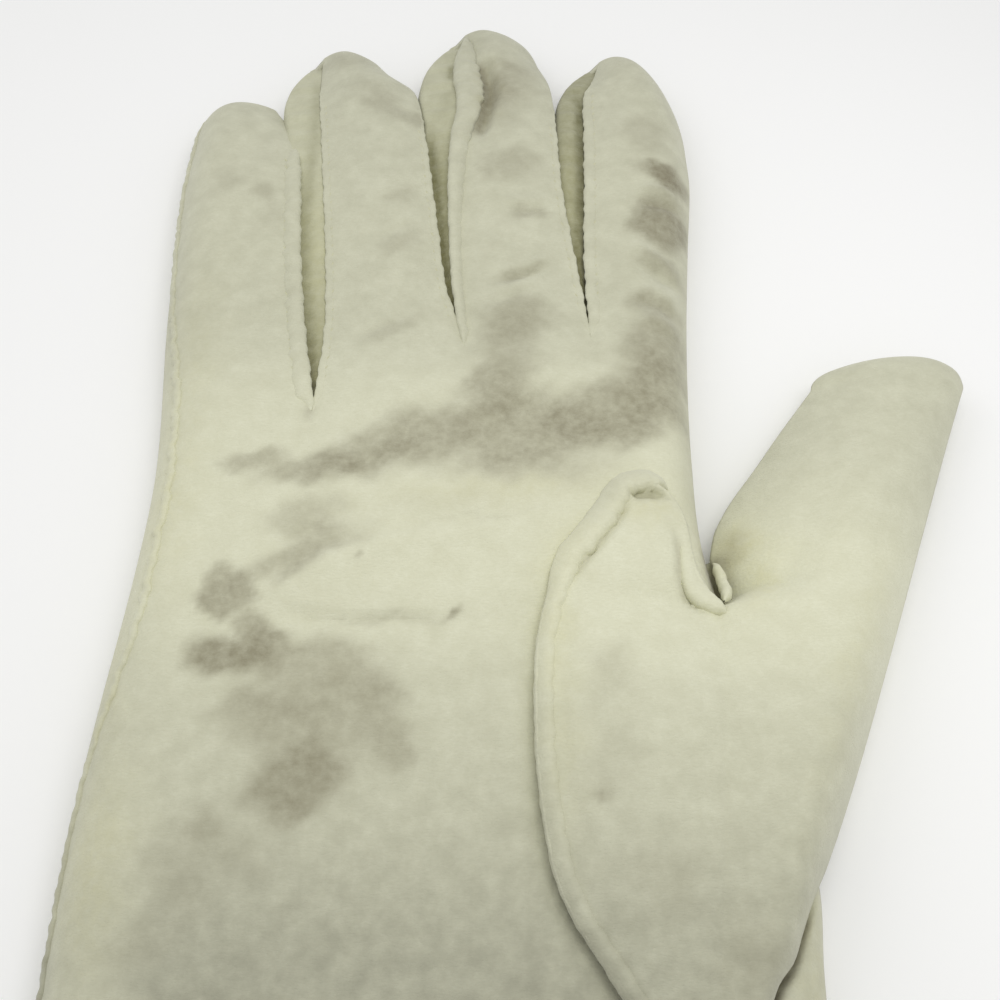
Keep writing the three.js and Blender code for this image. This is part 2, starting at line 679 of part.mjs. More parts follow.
// The thumb: a lobe on the palm left of the tongue, and a folded tube that closes above the crotch
function makeThumb() {
  const shared = [-88, -84, -79, -72, -64, LAP_ENDS_Y, -50, -42, -34, -27, TONGUE_TIP.y];
  const lobeRows = [...shared, -16, -11, -6.5, -3.4, -1.5, ARCH_TOP.y];
  const tubeRows = [...shared, TUBE_CLOSES_Y, -9.4, -3, 4, 11, 17, 22, 25, 27.5, 28.8, THUMB_TIP.y];
  const across = [0, 0.12, 0.26, 0.42, 0.6, 0.78, 0.9, 1];
  const lobeAcross = [0, 0.1, 0.22, 0.4, 0.6, 0.8, 1];
  const sheet = new Sheet();
  sheet.addGrid(lobeRows.map((y) => lobeAcross.map((u) => lobePoint(u, y))));
  sheet.addGrid(tubeRows.map((y) => across.map((u) => tubeTop(u, y))));
  const underRows = tubeRows.filter((y) => y >= LAP_ENDS_Y);
  sheet.addGrid(underRows.map((y) => across.map((u) => tubeUnder(u, y))), false);
  return sheet.thicken(() => CLOTH, thumbEdgeDirection);
}

function cloth(color) {
  return new THREE.MeshStandardMaterial({ color, roughness: 0.95, metalness: 0 });
}

const glove = new THREE.Group();

function addPiece(name, geometry, color) {
  const mesh = new THREE.Mesh(geometry, cloth(color));
  mesh.name = name;
  glove.add(mesh);
}

addPiece('trank', makeTrank(), 0xd9d9c4);
addPiece('thumb', makeThumb(), 0xdcdcc6);
SLITS.forEach((slit, i) => addPiece(`fourchette_${slit.name}`, makeFourchette(i), 0xb9b98e));

export default glove;
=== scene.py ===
"""Looks of a lady's right-hand glove of suede-finished cotton, lying on its back with the palm up.

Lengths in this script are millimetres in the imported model's frame, with the fingers along +Y, the thumb
towards +X and +Z up, and become metres only where a mesh is made. Each cloth piece is a surface of two
parameters: u runs across a finger's strip from its little-finger side, and y runs along the hand.
"""

import logging
import math
from dataclasses import dataclass, field
from enum import Enum

import bpy
import numpy as np
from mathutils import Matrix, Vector
from numpy.typing import NDArray


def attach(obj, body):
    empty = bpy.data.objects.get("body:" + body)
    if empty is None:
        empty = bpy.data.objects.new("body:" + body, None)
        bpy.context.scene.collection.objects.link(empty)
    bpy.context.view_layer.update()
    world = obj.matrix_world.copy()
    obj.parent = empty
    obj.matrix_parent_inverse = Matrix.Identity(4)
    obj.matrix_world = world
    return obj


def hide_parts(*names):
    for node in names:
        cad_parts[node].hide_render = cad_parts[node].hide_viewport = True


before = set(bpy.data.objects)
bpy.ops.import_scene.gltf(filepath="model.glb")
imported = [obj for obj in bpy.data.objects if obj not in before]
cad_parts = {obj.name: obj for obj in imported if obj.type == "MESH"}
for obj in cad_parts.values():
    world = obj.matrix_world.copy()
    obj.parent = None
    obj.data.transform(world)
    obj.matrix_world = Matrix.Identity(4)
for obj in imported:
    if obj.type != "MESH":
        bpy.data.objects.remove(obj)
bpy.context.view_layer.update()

Array = NDArray[np.float64]
Cells = NDArray[np.int64]
Flags = NDArray[np.bool_]
Waves = tuple[tuple[float, float], ...]
LOG = logging.getLogger("glove")

MM = 0.001
# The cloth's thickness, the height of the hand's outer edge, the top at the fingers' base, how far a slit's
# edge drops below the top, the hem, the fingers' base, and the gap and lap of the thumb's seam.
CLOTH = 1.1
EDGE_LEVEL = 5.5
FINGER_BASE_HEIGHT = 12.4
SEAM_DROP = 1.7
HEM_Y = -121.0
HEM_DEPTH = 7.0
FINGER_BASE_Y = 31.8
SEAM_GAP = 0.3
SEAM_LAP = 1.4
# How far apart in phase the waves of a ripple start, in radians.
WAVE_PHASE = 1.7


def mix(a: Array | float, b: Array | float, t: Array | float) -> Array:
    """Value between a and b at share t."""
    return a + (b - a) * t


def smooth(t: Array | float) -> Array:
    """S-curve from 0 to 1: 3 t squared minus 2 t cubed, held at its ends."""
    held = np.clip(t, 0.0, 1.0)
    return held * held * (3.0 - 2.0 * held)


def share(place: Array, start: Array | float, end: Array | float) -> Array:
    """Share of the way from start to end, held from 0 to 1."""
    return np.clip((place - start) / (end - start), 0.0, 1.0)


def rounded(start: Array | float, end: float, s: Array, power: float = 2.0) -> Array:
    """Place at share s of a superellipse from start to end: 1 less s to the power, to 1 over the power."""
    return end + (start - end) * (1.0 - s**power) ** (1.0 / power)


def unit(vectors: Array) -> Array:
    """Each vector divided by its own length."""
    return vectors / np.maximum(np.linalg.norm(vectors, axis=-1, keepdims=True), 1e-9)


def run_along(points: Array) -> Array:
    """Distance along a chain of points, at each of them."""
    return np.concatenate([[0.0], np.cumsum(np.linalg.norm(np.diff(points, axis=0), axis=1))])


def ripple(place: Array, waves: Waves) -> Array:
    """A wandering value: the sum of sines, each given by its wavelength in mm and its share.

    Args:
        place: Distance along a line in mm.
        waves: Pairs of wavelength and share.

    Returns:
        One value for each place, about from -1 to 1.
    """
    total = np.zeros_like(place)
    for number, (length, part) in enumerate(waves):
        total = total + part * np.sin(2.0 * math.pi * place / length + WAVE_PHASE * number)
    return total


@dataclass(frozen=True)
class SmoothLine:
    """A smooth line through (y, value) rows: cubic pieces whose slope at a row joins its neighbours."""

    rows: tuple[tuple[float, float], ...]

    def __call__(self, y: Array | float) -> Array:
        """Value at y, held at the line's ends.

        Args:
            y: Places along the hand in mm.

        Returns:
            The line's value at each place.
        """
        at, value = np.asarray(self.rows, float).T
        last = len(at) - 1
        before = np.maximum(np.arange(last + 1) - 1, 0)
        after = np.minimum(np.arange(last + 1) + 1, last)
        slope = (value[after] - value[before]) / (at[after] - at[before])
        inside = np.clip(y, at[0], at[-1])
        i = np.clip(np.searchsorted(at, inside, side="right") - 1, 0, last - 1)
        span = at[i + 1] - at[i]
        t = (inside - at[i]) / span
        start = value[i] * (1 + 2 * t) * (1 - t) ** 2 + span * slope[i] * t * (1 - t) ** 2
        end = value[i + 1] * t**2 * (3 - 2 * t) + span * slope[i + 1] * t**2 * (t - 1)
        return start + end


@dataclass(frozen=True)
class Spot:
    """A soft round patch in plan: exp of minus the squared distance in radii, turned from X."""

    x: float
    y: float
    along: float
    across: float
    turn: float
    strength: float
    edge: float = 1.0

    def at(self, x: Array, y: Array) -> Array:
        """Strength of the patch at places in plan; a larger edge gives a flatter middle and a crisper rim.

        Args:
            x: Places across the hand in mm.
            y: Places along the hand in mm.

        Returns:
            The patch's value at each place.
        """
        turn = math.radians(self.turn)
        dx, dy = x - self.x, y - self.y
        u = (dx * math.cos(turn) + dy * math.sin(turn)) / self.along
        v = (dy * math.cos(turn) - dx * math.sin(turn)) / self.across
        return self.strength * np.exp(-((u * u + v * v) ** self.edge))


@dataclass(frozen=True)
class Crease:
    """A fold line in the cloth along a chain of points: a valley or a ridge that fades at both ends."""

    points: tuple[tuple[float, float], ...]
    width: float
    rise: float
    tail: float = 4.0

    def at(self, x: Array, y: Array) -> Array:
        """Height that the crease adds: its rise times exp of minus the squared distance in widths.

        Args:
            x: Places across the hand in mm.
            y: Places along the hand in mm.

        Returns:
            Height in mm at each place.
        """
        chain = np.asarray(self.points, float)
        steps = np.linalg.norm(np.diff(chain, axis=0), axis=1)
        total = steps.sum()
        run = np.concatenate([[0.0], np.cumsum(steps)])
        nearest = np.full(np.shape(x), np.inf)
        place = np.zeros(np.shape(x))
        for i, length in enumerate(steps):
            ax, ay = chain[i]
            bx, by = (chain[i + 1] - chain[i]) / length
            t = np.clip((x - ax) * bx + (y - ay) * by, 0.0, length)
            away = np.hypot(x - ax - bx * t, y - ay - by * t)
            closer = away < nearest
            nearest = np.where(closer, away, nearest)
            place = np.where(closer, run[i] + t, place)
        tail = min(self.tail, total / 2)
        fade = smooth(place / tail) * smooth((total - place) / tail)
        return self.rise * fade * np.exp(-((nearest / self.width) ** 2))


@dataclass(frozen=True)
class Slit:
    """The opening between two fingers: its crotch, and each side as rows of y, palm-side x and back x."""

    name: str
    crotch: tuple[float, float]
    hem_x: float
    left: tuple[tuple[float, float, float], ...]
    right: tuple[tuple[float, float, float], ...]


@dataclass(frozen=True)
class Finger:
    """A fingertip in plan, and how square its left and right sides are."""

    name: str
    tip: tuple[float, float]
    left_power: float
    right_power: float


@dataclass(frozen=True)
class StripEdge:
    """One side of a finger's strip: where the palm cloth and the back cloth end, and where they join."""

    finger: Finger
    palm_line: SmoothLine
    back_line: SmoothLine
    join_y: float
    power: float
    slit: Slit | None = None
    open_power: int = 6

    def _place(self, line: SmoothLine, y: Array) -> Array:
        """Edge of one cloth side: the hand's line, the slit's, then a superellipse that starts with its lean.

        Args:
            line: The edge between the crotch and the join.
            y: Places along the hand in mm.

        Returns:
            The edge's x at each place.
        """
        tip_x, tip_y = self.finger.tip
        s = share(y, self.join_y, tip_y)
        lean = self.palm_line(self.join_y) - self.palm_line(self.join_y - 1.0)
        tip = rounded(line(self.join_y), tip_x, s, self.power)
        tip = tip + lean * (tip_y - self.join_y) * s * (1.0 - s) ** 3
        x = np.where(y < self.join_y, line(y), tip)
        if self.slit is None:
            return x
        crotch_x, crotch_y = self.slit.crotch
        below = mix(crotch_x, self.slit.hem_x, (crotch_y - y) / (crotch_y - HEM_Y))
        return np.where(y <= crotch_y, below, x)

    def palm(self, y: Array) -> Array:
        """Edge of the palm side."""
        return self._place(self.palm_line, y)

    def back(self, y: Array) -> Array:
        """Edge of the back."""
        return self._place(self.back_line, y)

    def open(self, y: Array) -> Array:
        """How far the two cloth sides are apart: 1 along the slit, and by a power down to 0 at the join.

        Args:
            y: Places along the hand in mm.

        Returns:
            The share at each place, 0 all along an outer edge.
        """
        if self.slit is None:
            return np.zeros_like(y)
        return 1.0 - share(y, self.slit.crotch[1], self.join_y) ** self.open_power


@dataclass
class Relief:
    """Low forms of the palm side: dents, creases, and the faint waves of cloth that has been in use."""

    dents: tuple[Spot, ...] = ()
    creases: tuple[Crease, ...] = ()
    wave: float = 0.11

    def at(self, x: Array, y: Array) -> Array:
        """Height of the low forms: the dents, the creases and three crossing waves of sines, 2 to 8 mm long.

        Args:
            x: Places across the hand in mm.
            y: Places along the hand in mm.

        Returns:
            Height in mm at each place.
        """
        rise = self.wave * np.sin(x / 3.1 + 0.9 * np.sin(y / 6.3)) * np.sin(y / 4.7 + 0.6)
        rise = rise + self.wave * np.sin((x * 0.6 + y) / 5.9 + 1.1 * np.sin(x / 8.0))
        rise = rise + self.wave * 0.6 * np.sin((x - 0.8 * y) / 2.3 + 2.0)
        for form in (*self.dents, *self.creases):
            rise = rise + form.at(x, y)
        return rise


@dataclass
class Strip:
    """One finger's strip of the hand, from the hem to the fingertip, with its palm side and its back."""

    finger: Finger
    left: StripEdge
    right: StripEdge
    relief: Relief
    palm_heights: SmoothLine = SmoothLine((
        (-121, 9.5), (-96, 11), (-73, 13), (-40, 14.5), (-5, 14.8), (16, 13.6), (31.8, FINGER_BASE_HEIGHT)))
    shoulder: float = 6.5
    seam_shoulder: float = 3.0
    tip_power: int = 5
    lift_from: float = 0.75
    seam_fade: float = 15.0
    held_run: float = 8.0
    held_tip: float = 0.1
    turn_reach: tuple[float, float] = (0.5, 0.34)
    turn_power: float = 2.6

    def along(self, y: Array) -> Array:
        """Share of the finger's length, from 0 at its base to 1 at its tip."""
        return share(y, FINGER_BASE_Y, self.finger.tip[1])

    def top(self, y: Array) -> Array:
        """Height of the strip's middle: the palm's, then a finger's that closes as root of 1 less a power."""
        closing = np.sqrt(1.0 - self.along(y) ** self.tip_power)
        return np.where(y < FINGER_BASE_Y, self.palm_heights(y), mix(EDGE_LEVEL, FINGER_BASE_HEIGHT, closing))

    def bottom(self, y: Array) -> Array:
        """Height of the back: flat, and lifted over the last quarter of the finger."""
        t = share(self.along(y), self.lift_from, 1.0)
        return EDGE_LEVEL * (1.0 - np.sqrt(1.0 - t**3))

    def palm_edge(self, edge: StripEdge, y: Array) -> Array:
        """Height of the palm side's edge: just under the top beside a slit, half-way up at an outer edge.

        Args:
            edge: The side of the strip.
            y: Places along the hand in mm.

        Returns:
            Height in mm at each place.
        """
        if edge.slit is None:
            return np.full(np.shape(y), EDGE_LEVEL)
        fade = smooth((edge.slit.crotch[1] - y) / self.seam_fade)
        seam = self.top(y) - SEAM_DROP * (1.0 - fade)
        return np.where(y < edge.join_y, mix(EDGE_LEVEL, seam, edge.open(y)), EDGE_LEVEL)

    def back_edge(self, edge: StripEdge, y: Array) -> Array:
        """Height of the back's edge."""
        return mix(EDGE_LEVEL, self.bottom(y), edge.open(y))

    def _held(self, edge: StripEdge, across: Array, y: Array) -> Array:
        """Share of the low forms near an edge: none at an open edge, all where two strips are one cloth.

        Args:
            edge: The side of the strip.
            across: Share of the strip's width from that side.
            y: Places along the hand in mm.

        Returns:
            The share at each place.
        """
        near = np.clip(4.0 * across, 0.0, 1.0)
        if edge.slit is None:
            return near
        return mix(near, 1.0, smooth((edge.slit.crotch[1] - y) / self.held_run))

    def palm_side(self, u: Array, y: Array) -> Array:
        """Points of the palm side: a plateau less a power of the distance across, plus the low forms.

        Args:
            u: Shares across the strip.
            y: Places along the hand in mm, of the same shape as u.

        Returns:
            Points in mm, with a last axis of three.
        """
        x = mix(self.left.palm(y), self.right.palm(y), u)
        top = self.top(y)
        left_power = self.seam_shoulder if self.left.slit else self.shoulder
        right_power = self.seam_shoulder if self.right.slit else self.shoulder
        fall = (top - self.palm_edge(self.left, y)) * (1.0 - u) ** left_power
        fall = fall + (top - self.palm_edge(self.right, y)) * u**right_power
        held = self._held(self.left, u, y) * self._held(self.right, 1.0 - u, y)
        held = held * smooth((1.0 - self.along(y)) / self.held_tip)
        return np.stack([x, y, top - fall + self.relief.at(x, y) * held], -1)

    def back_side(self, u: Array, y: Array) -> Array:
        """Points of the back: flat, and turned up to its edges by a power of the distance across.

        Args:
            u: Shares across the strip.
            y: Places along the hand in mm, of the same shape as u.

        Returns:
            Points in mm, with a last axis of three.
        """
        x = mix(self.left.back(y), self.right.back(y), u)
        z = self.bottom(y)
        bottom = z
        for edge, across in ((self.left, u), (self.right, 1.0 - u)):
            reach = self.turn_reach[0] if edge.slit else self.turn_reach[1]
            turned_up = np.clip(1.0 - across / reach, 0.0, 1.0) ** self.turn_power
            z = z + (self.back_edge(edge, y) - bottom) * turned_up
        return np.stack([x, y, z], -1)


@dataclass
class Sheet:
    """One open face of cloth, gathered from grids of points and welded where they meet."""

    weld: float = 0.002
    points: list[Array] = field(default_factory=list)
    triangles: list[Cells] = field(default_factory=list)
    count: int = 0

    def add(self, grid: Array, face_up: bool = True, keep: Flags | None = None) -> None:
        """Adds a grid whose rows run up and whose columns run right, as two triangles a cell.

        Args:
            grid: Points, shaped rows by columns by three.
            face_up: False where the face is to be turned over.
            keep: Which cells stay, shaped rows less one by columns less one.
        """
        rows, columns = grid.shape[:2]
        ids = np.arange(rows * columns).reshape(rows, columns) + self.count
        a, b, c, d = ids[:-1, :-1], ids[:-1, 1:], ids[1:, 1:], ids[1:, :-1]
        cells = np.stack([np.stack([a, b, c], -1), np.stack([a, c, d], -1)], 2)
        cells = cells.reshape(-1, 3) if keep is None else cells[keep].reshape(-1, 3)
        self.triangles.append(cells if face_up else cells[:, ::-1])
        self.points.append(grid.reshape(-1, 3))
        self.count += rows * columns

    def welded(self) -> tuple[Array, Cells]:
        """Joins points that fall together and drops cells with no area.

        Returns:
            The points, and the triangles as point numbers.
        """
        points = np.concatenate(self.points)
        keys = np.round(points / self.weld).astype(np.int64)
        first, index = np.unique(keys, axis=0, return_index=True, return_inverse=True)[1:]
        cells = index.reshape(-1)[np.concatenate(self.triangles)]
        a, b, c = cells.T
        cells = cells[(a != b) & (b != c) & (a != c)]
        used, compact = np.unique(cells, return_inverse=True)
        return points[first][used], compact.reshape(-1, 3)


def make_piece(name: str, points: Array, cells: Cells,
               fields: dict[str, Array] | None = None) -> bpy.types.Object:
    """Makes a smooth-shaded mesh object whose place is in its mesh.

    Args:
        name: The piece's name.
        points: Places in mm.
        cells: Triangles as point numbers.
        fields: Values for each point, by attribute name.

    Returns:
        The new object, linked to the scene.
    """
    mesh = bpy.data.meshes.new(name)
    mesh.vertices.add(len(points))
    mesh.vertices.foreach_set("co", (points * MM).astype(np.float32).ravel())
    mesh.loops.add(cells.size)
    mesh.loops.foreach_set("vertex_index", cells.astype(np.int32).ravel())
    mesh.polygons.add(len(cells))
    mesh.polygons.foreach_set("loop_start", np.arange(0, cells.size, 3, dtype=np.int32))
    mesh.polygons.foreach_set("use_smooth", np.ones(len(cells), bool))
    mesh.update(calc_edges=True)
    mesh.validate()
    for key, values in (fields or {}).items():
        mesh.attributes.new(key, "FLOAT", "POINT").data.foreach_set("value", values.astype(np.float32))
    piece = bpy.data.objects.new(name, mesh)
    bpy.context.scene.collection.objects.link(piece)
    return piece


def give_wall(piece: bpy.types.Object, thickness: float) -> None:
    """Gives a sheet its cloth thickness, inwards from the modelled face.

    Args:
        piece: The sheet.
        thickness: Thickness in mm.
    """
    wall = piece.modifiers.new("cloth_thickness", "SOLIDIFY")
    wall.thickness = thickness * MM
    wall.offset = -1.0
    wall.use_rim = True
    wall.use_even_offset = False


class Side(Enum):
    """Which side of a finger's strip a seam runs on."""

    LEFT = 0.0
    RIGHT = 1.0


@dataclass
class Route:
    """A line on the cloth with the directions across it and out of the cloth."""

    place: Array
    across: Array
    out: Array

    @classmethod
    def on(cls, place: Array, beside: Array) -> "Route":
        """A route from its points and from points on the cloth a short way to its inner side.

        Args:
            place: Points along the line in mm.
            beside: For each, a point on the cloth at its inner side.

        Returns:
            The route, with unit directions square to each other.
        """
        along = unit(np.gradient(place, axis=0))
        across = unit(beside - place)
        out = unit(np.cross(along, across))
        out = out * np.where(out[:, 2:] < 0.0, -1.0, 1.0)
        across = unit(across - along * np.sum(across * along, -1, keepdims=True))
        return cls(place, across, out)

    @classmethod
    def between(cls, outer: Array, inner: Array) -> "Route":
        """A route along an outer line, whose direction across reaches all the way to an inner line.

        Args:
            outer: Points along the outer line in mm.
            inner: For each, the point across from it on the inner line.

        Returns:
            The route; a welt of width 1 on it spans both lines.
        """
        out = unit(np.cross(np.gradient(outer, axis=0), inner - outer))
        return cls(outer, inner - outer, out * np.where(out[:, 2:] < 0.0, -1.0, 1.0))

    def run(self) -> Array:
        """Distance along the route at each point."""
        return run_along(self.place)


# Half sections of the seams' edges, as shares across the band and of its height: a thin band that is rounded
# towards the slit, a lip that rises to its inner side, and an even roll.
WELT_PROFILE = np.array([
    (0.02, -0.95), (-0.05, -0.35), (-0.06, 0.30), (0.02, 0.74), (0.16, 0.97), (0.34, 1.00), (0.52, 0.92),
    (0.70, 0.70), (0.86, 0.36), (1.00, -0.05), (1.06, -0.50), (0.50, -0.95)])

LIP_PROFILE = np.array([
    (0.00, -0.90), (-0.03, -0.30), (0.00, 0.15), (0.12, 0.48), (0.30, 0.76), (0.52, 0.96), (0.72, 1.00),
    (0.86, 0.84), (0.95, 0.50), (1.00, 0.00), (1.00, -0.80), (0.50, -1.10)])

ROLL_PROFILE = np.array([
    (0.00, -0.60), (-0.03, 0.00), (0.00, 0.35), (0.08, 0.66), (0.22, 0.88), (0.40, 1.00), (0.60, 1.00),
    (0.78, 0.84), (0.92, 0.50), (1.00, 0.10), (1.00, -0.40), (0.50, -0.90)])


@dataclass
class Welt:
    """A raised seam edge: a rounded flat band carried along a route, with a rubbed and slightly wavy edge."""

    route: Route
    width: float
    height: float
    taper: tuple[float, float] = (5.0, 5.0)
    waver: float = 0.13
    profile: Array = field(default_factory=lambda: WELT_PROFILE)
    end_run: float = 0.2
    least_share: float = 0.02
    sway_waves: Waves = ((2.3, 0.5), (3.9, 0.5), (7.7, 0.6))
    width_waves: Waves = ((2.9, 0.7), (5.3, 0.6))
    height_waves: Waves = ((2.1, 0.8), (4.4, 0.5))

    def grid(self) -> Array:
        """Rows of the band's profile, with a place, width and height that waver and end in points.

        Returns:
            Points shaped stations by profile points by three, with the first profile point repeated.
        """
        run = self.route.run()
        ends = smooth((run + self.end_run) / self.taper[0])
        ends = ends * smooth((run[-1] - run + self.end_run) / self.taper[1])
        ends = np.maximum(np.sqrt(ends), self.least_share)
        sway = self.waver * ripple(run, self.sway_waves)
        width = self.width * ends * (1.0 + 0.5 * self.waver * ripple(run + 3.1, self.width_waves))
        height = self.height * ends * (1.0 + 0.6 * self.waver * ripple(run + 1.3, self.height_waves))
        profile = np.concatenate([self.profile, self.profile[:1]])
        share_across, share_out = profile[:, 0][None, :, None], profile[:, 1][None, :, None]
        place = self.route.place[:, None, :] + unit(self.route.across)[:, None, :] * sway[:, None, None]
        across = self.route.across[:, None, :] * share_across * width[:, None, None]
        return place + across + self.route.out[:, None, :] * share_out * height[:, None, None]


@dataclass
class Stitches:
    """Small overcast stitches along a seam, each a short bead of thread lying a little aslant."""

    pitch: float = 2.1
    length: float = 1.1
    thick: float = 0.30
    slant: float = 28.0
    sides: int = 6
    rings: int = 5

    def beads(self, route: Route, inset: float, lift: float, trim: float = 2.0) -> Array:
        """Grids of all the beads along a route, each a stretched ball with closed ends.

        Args:
            route: The seam's line.
            inset: Distance of the beads from the line, in mm, to the inner side.
            lift: Height of the beads' middles over the cloth, in mm.
            trim: Length left free at both ends, in mm.

        Returns:
            Points shaped beads by rings by sides plus one by three.
        """
        run = route.run()
        at = np.arange(trim, run[-1] - trim, self.pitch)
        along = unit(np.gradient(route.place, axis=0))

        def sample(values: Array) -> Array:
            """Values of the route at the beads."""
            return np.stack([np.interp(at, run, values[:, k]) for k in range(3)], -1)

        centre, across, out = sample(route.place), unit(sample(route.across)), unit(sample(route.out))
        forward = unit(sample(along))
        centre = centre + across * inset + out * lift
        slant = math.radians(self.slant)
        axis = forward * math.cos(slant) + across * math.sin(slant)
        other = across * math.cos(slant) - forward * math.sin(slant)
        polar = np.linspace(0.0, math.pi, self.rings)[:, None]
        turn = np.linspace(0.0, 2.0 * math.pi, self.sides + 1)[None, :]
        reach = (-np.cos(polar) * self.length / 2 + 0.0 * turn)[None, ..., None]
        wide = (np.sin(polar) * np.cos(turn) * self.thick / 2)[None, ..., None]
        high = (np.sin(polar) * np.sin(turn) * self.thick / 2)[None, ..., None]
        middle = centre[:, None, None, :]
        return middle + axis[:, None, None] * reach + other[:, None, None] * wide + out[:, None, None] * high


# Hollows and swellings of the palm: x, y, half length, half width, turn and height.
PALM_DENTS = tuple(Spot(*row) for row in (
    (-7, -23.5, 17, 2.6, 0, -0.7), (-10, -14, 17, 3.6, 22, 0.7), (12, 10, 26, 9, 8, -0.9),
    (-28, -4, 9, 14, 0, -0.6), (-14, -48, 22, 10, -12, -0.8), (16.5, 43.5, 5, 2, 14, -0.6),
    (16.5, 58.2, 4, 1.8, 12, -0.5), (41, 60.8, 5, 2.2, 24, -0.6), (40, 43, 5, 2.2, 22, -0.6),
))

# Folds of the palm side, fingers included: the chain of points, width, height and tail.
PALM_CREASES = tuple(Crease(*row) for row in (
    (((-20.6, -22.6), (-9.2, -23.6), (-1.0, -23.7), (6.3, -23.2)), 0.55, -0.5, 5.0),
    (((-20.0, -21.4), (-9.2, -22.2), (-1.0, -22.4), (5.4, -22.0)), 0.8, 0.3, 5.0),
    (((-23.7, -20.0), (-12.9, -11.6), (0.2, -8.2), (15, -6.4)), 1.4, -0.35, 8.0),
    (((-23.7, -22.6), (-12.9, -14.6), (0.2, -11.0), (15, -9.4)), 1.8, 0.4, 8.0),
    (((34.9, 46.2), (39.3, 43.2), (44.5, 40.8)), 0.9, -0.8, 3.0),
    (((33.9, 51.0), (38.5, 46.9), (44.5, 43.4)), 1.2, 0.75, 3.0),
    (((33.6, 38.2), (38.2, 36.7), (43.4, 33.6)), 1.1, -0.85, 3.0),
    (((34.0, 33.6), (38.4, 32.4), (43.6, 30.4)), 1.3, 0.7, 3.0),
    (((34.4, 40.8), (39.0, 39.4), (44.0, 36.8)), 1.0, 0.35, 3.0),
    (((36.0, 63.4), (40.4, 63.2), (45.6, 62.2)), 1.1, 0.8, 3.0),
    (((36.0, 60.8), (40.4, 60.4), (45.6, 59.4)), 0.9, -0.7, 3.0),
    (((11.0, 41.8), (16.5, 43.6), (21.0, 46.0)), 0.6, -0.55, 3.0),
    (((11.0, 43.6), (16.5, 45.4), (21.0, 47.8)), 0.9, 0.35, 3.0),
    (((8.5, 37.0), (14.0, 38.4), (19.5, 40.6)), 0.9, -0.4, 4.0),
    (((8.5, 39.2), (14.0, 40.6), (19.5, 42.8)), 1.0, 0.3, 4.0),
    (((12.0, 59.6), (16.5, 58.6), (20.6, 59.6)), 0.6, -0.45, 2.5),
    (((12.0, 61.6), (16.5, 60.6), (20.6, 61.6)), 0.9, 0.3, 2.5),
    (((8.4, 104.0), (9.1, 98.5), (10.0, 94.3), (10.3, 90.0), (9.7, 85.6), (8.7, 81.0), (7.7, 76)), 1.4,
     -2.0, 6.0),
    (((-9.5, 50.0), (-5.8, 54.0), (-3.0, 56.5)), 0.7, -0.3, 3.0),
    (((-12.0, 29.0), (-7.0, 32.5), (-2.5, 35.0)), 0.9, -0.35, 3.0),
    (((-8.6, 88.6), (-4.6, 84.4), (-1.8, 86.0)), 0.6, -0.35, 2.5),
))


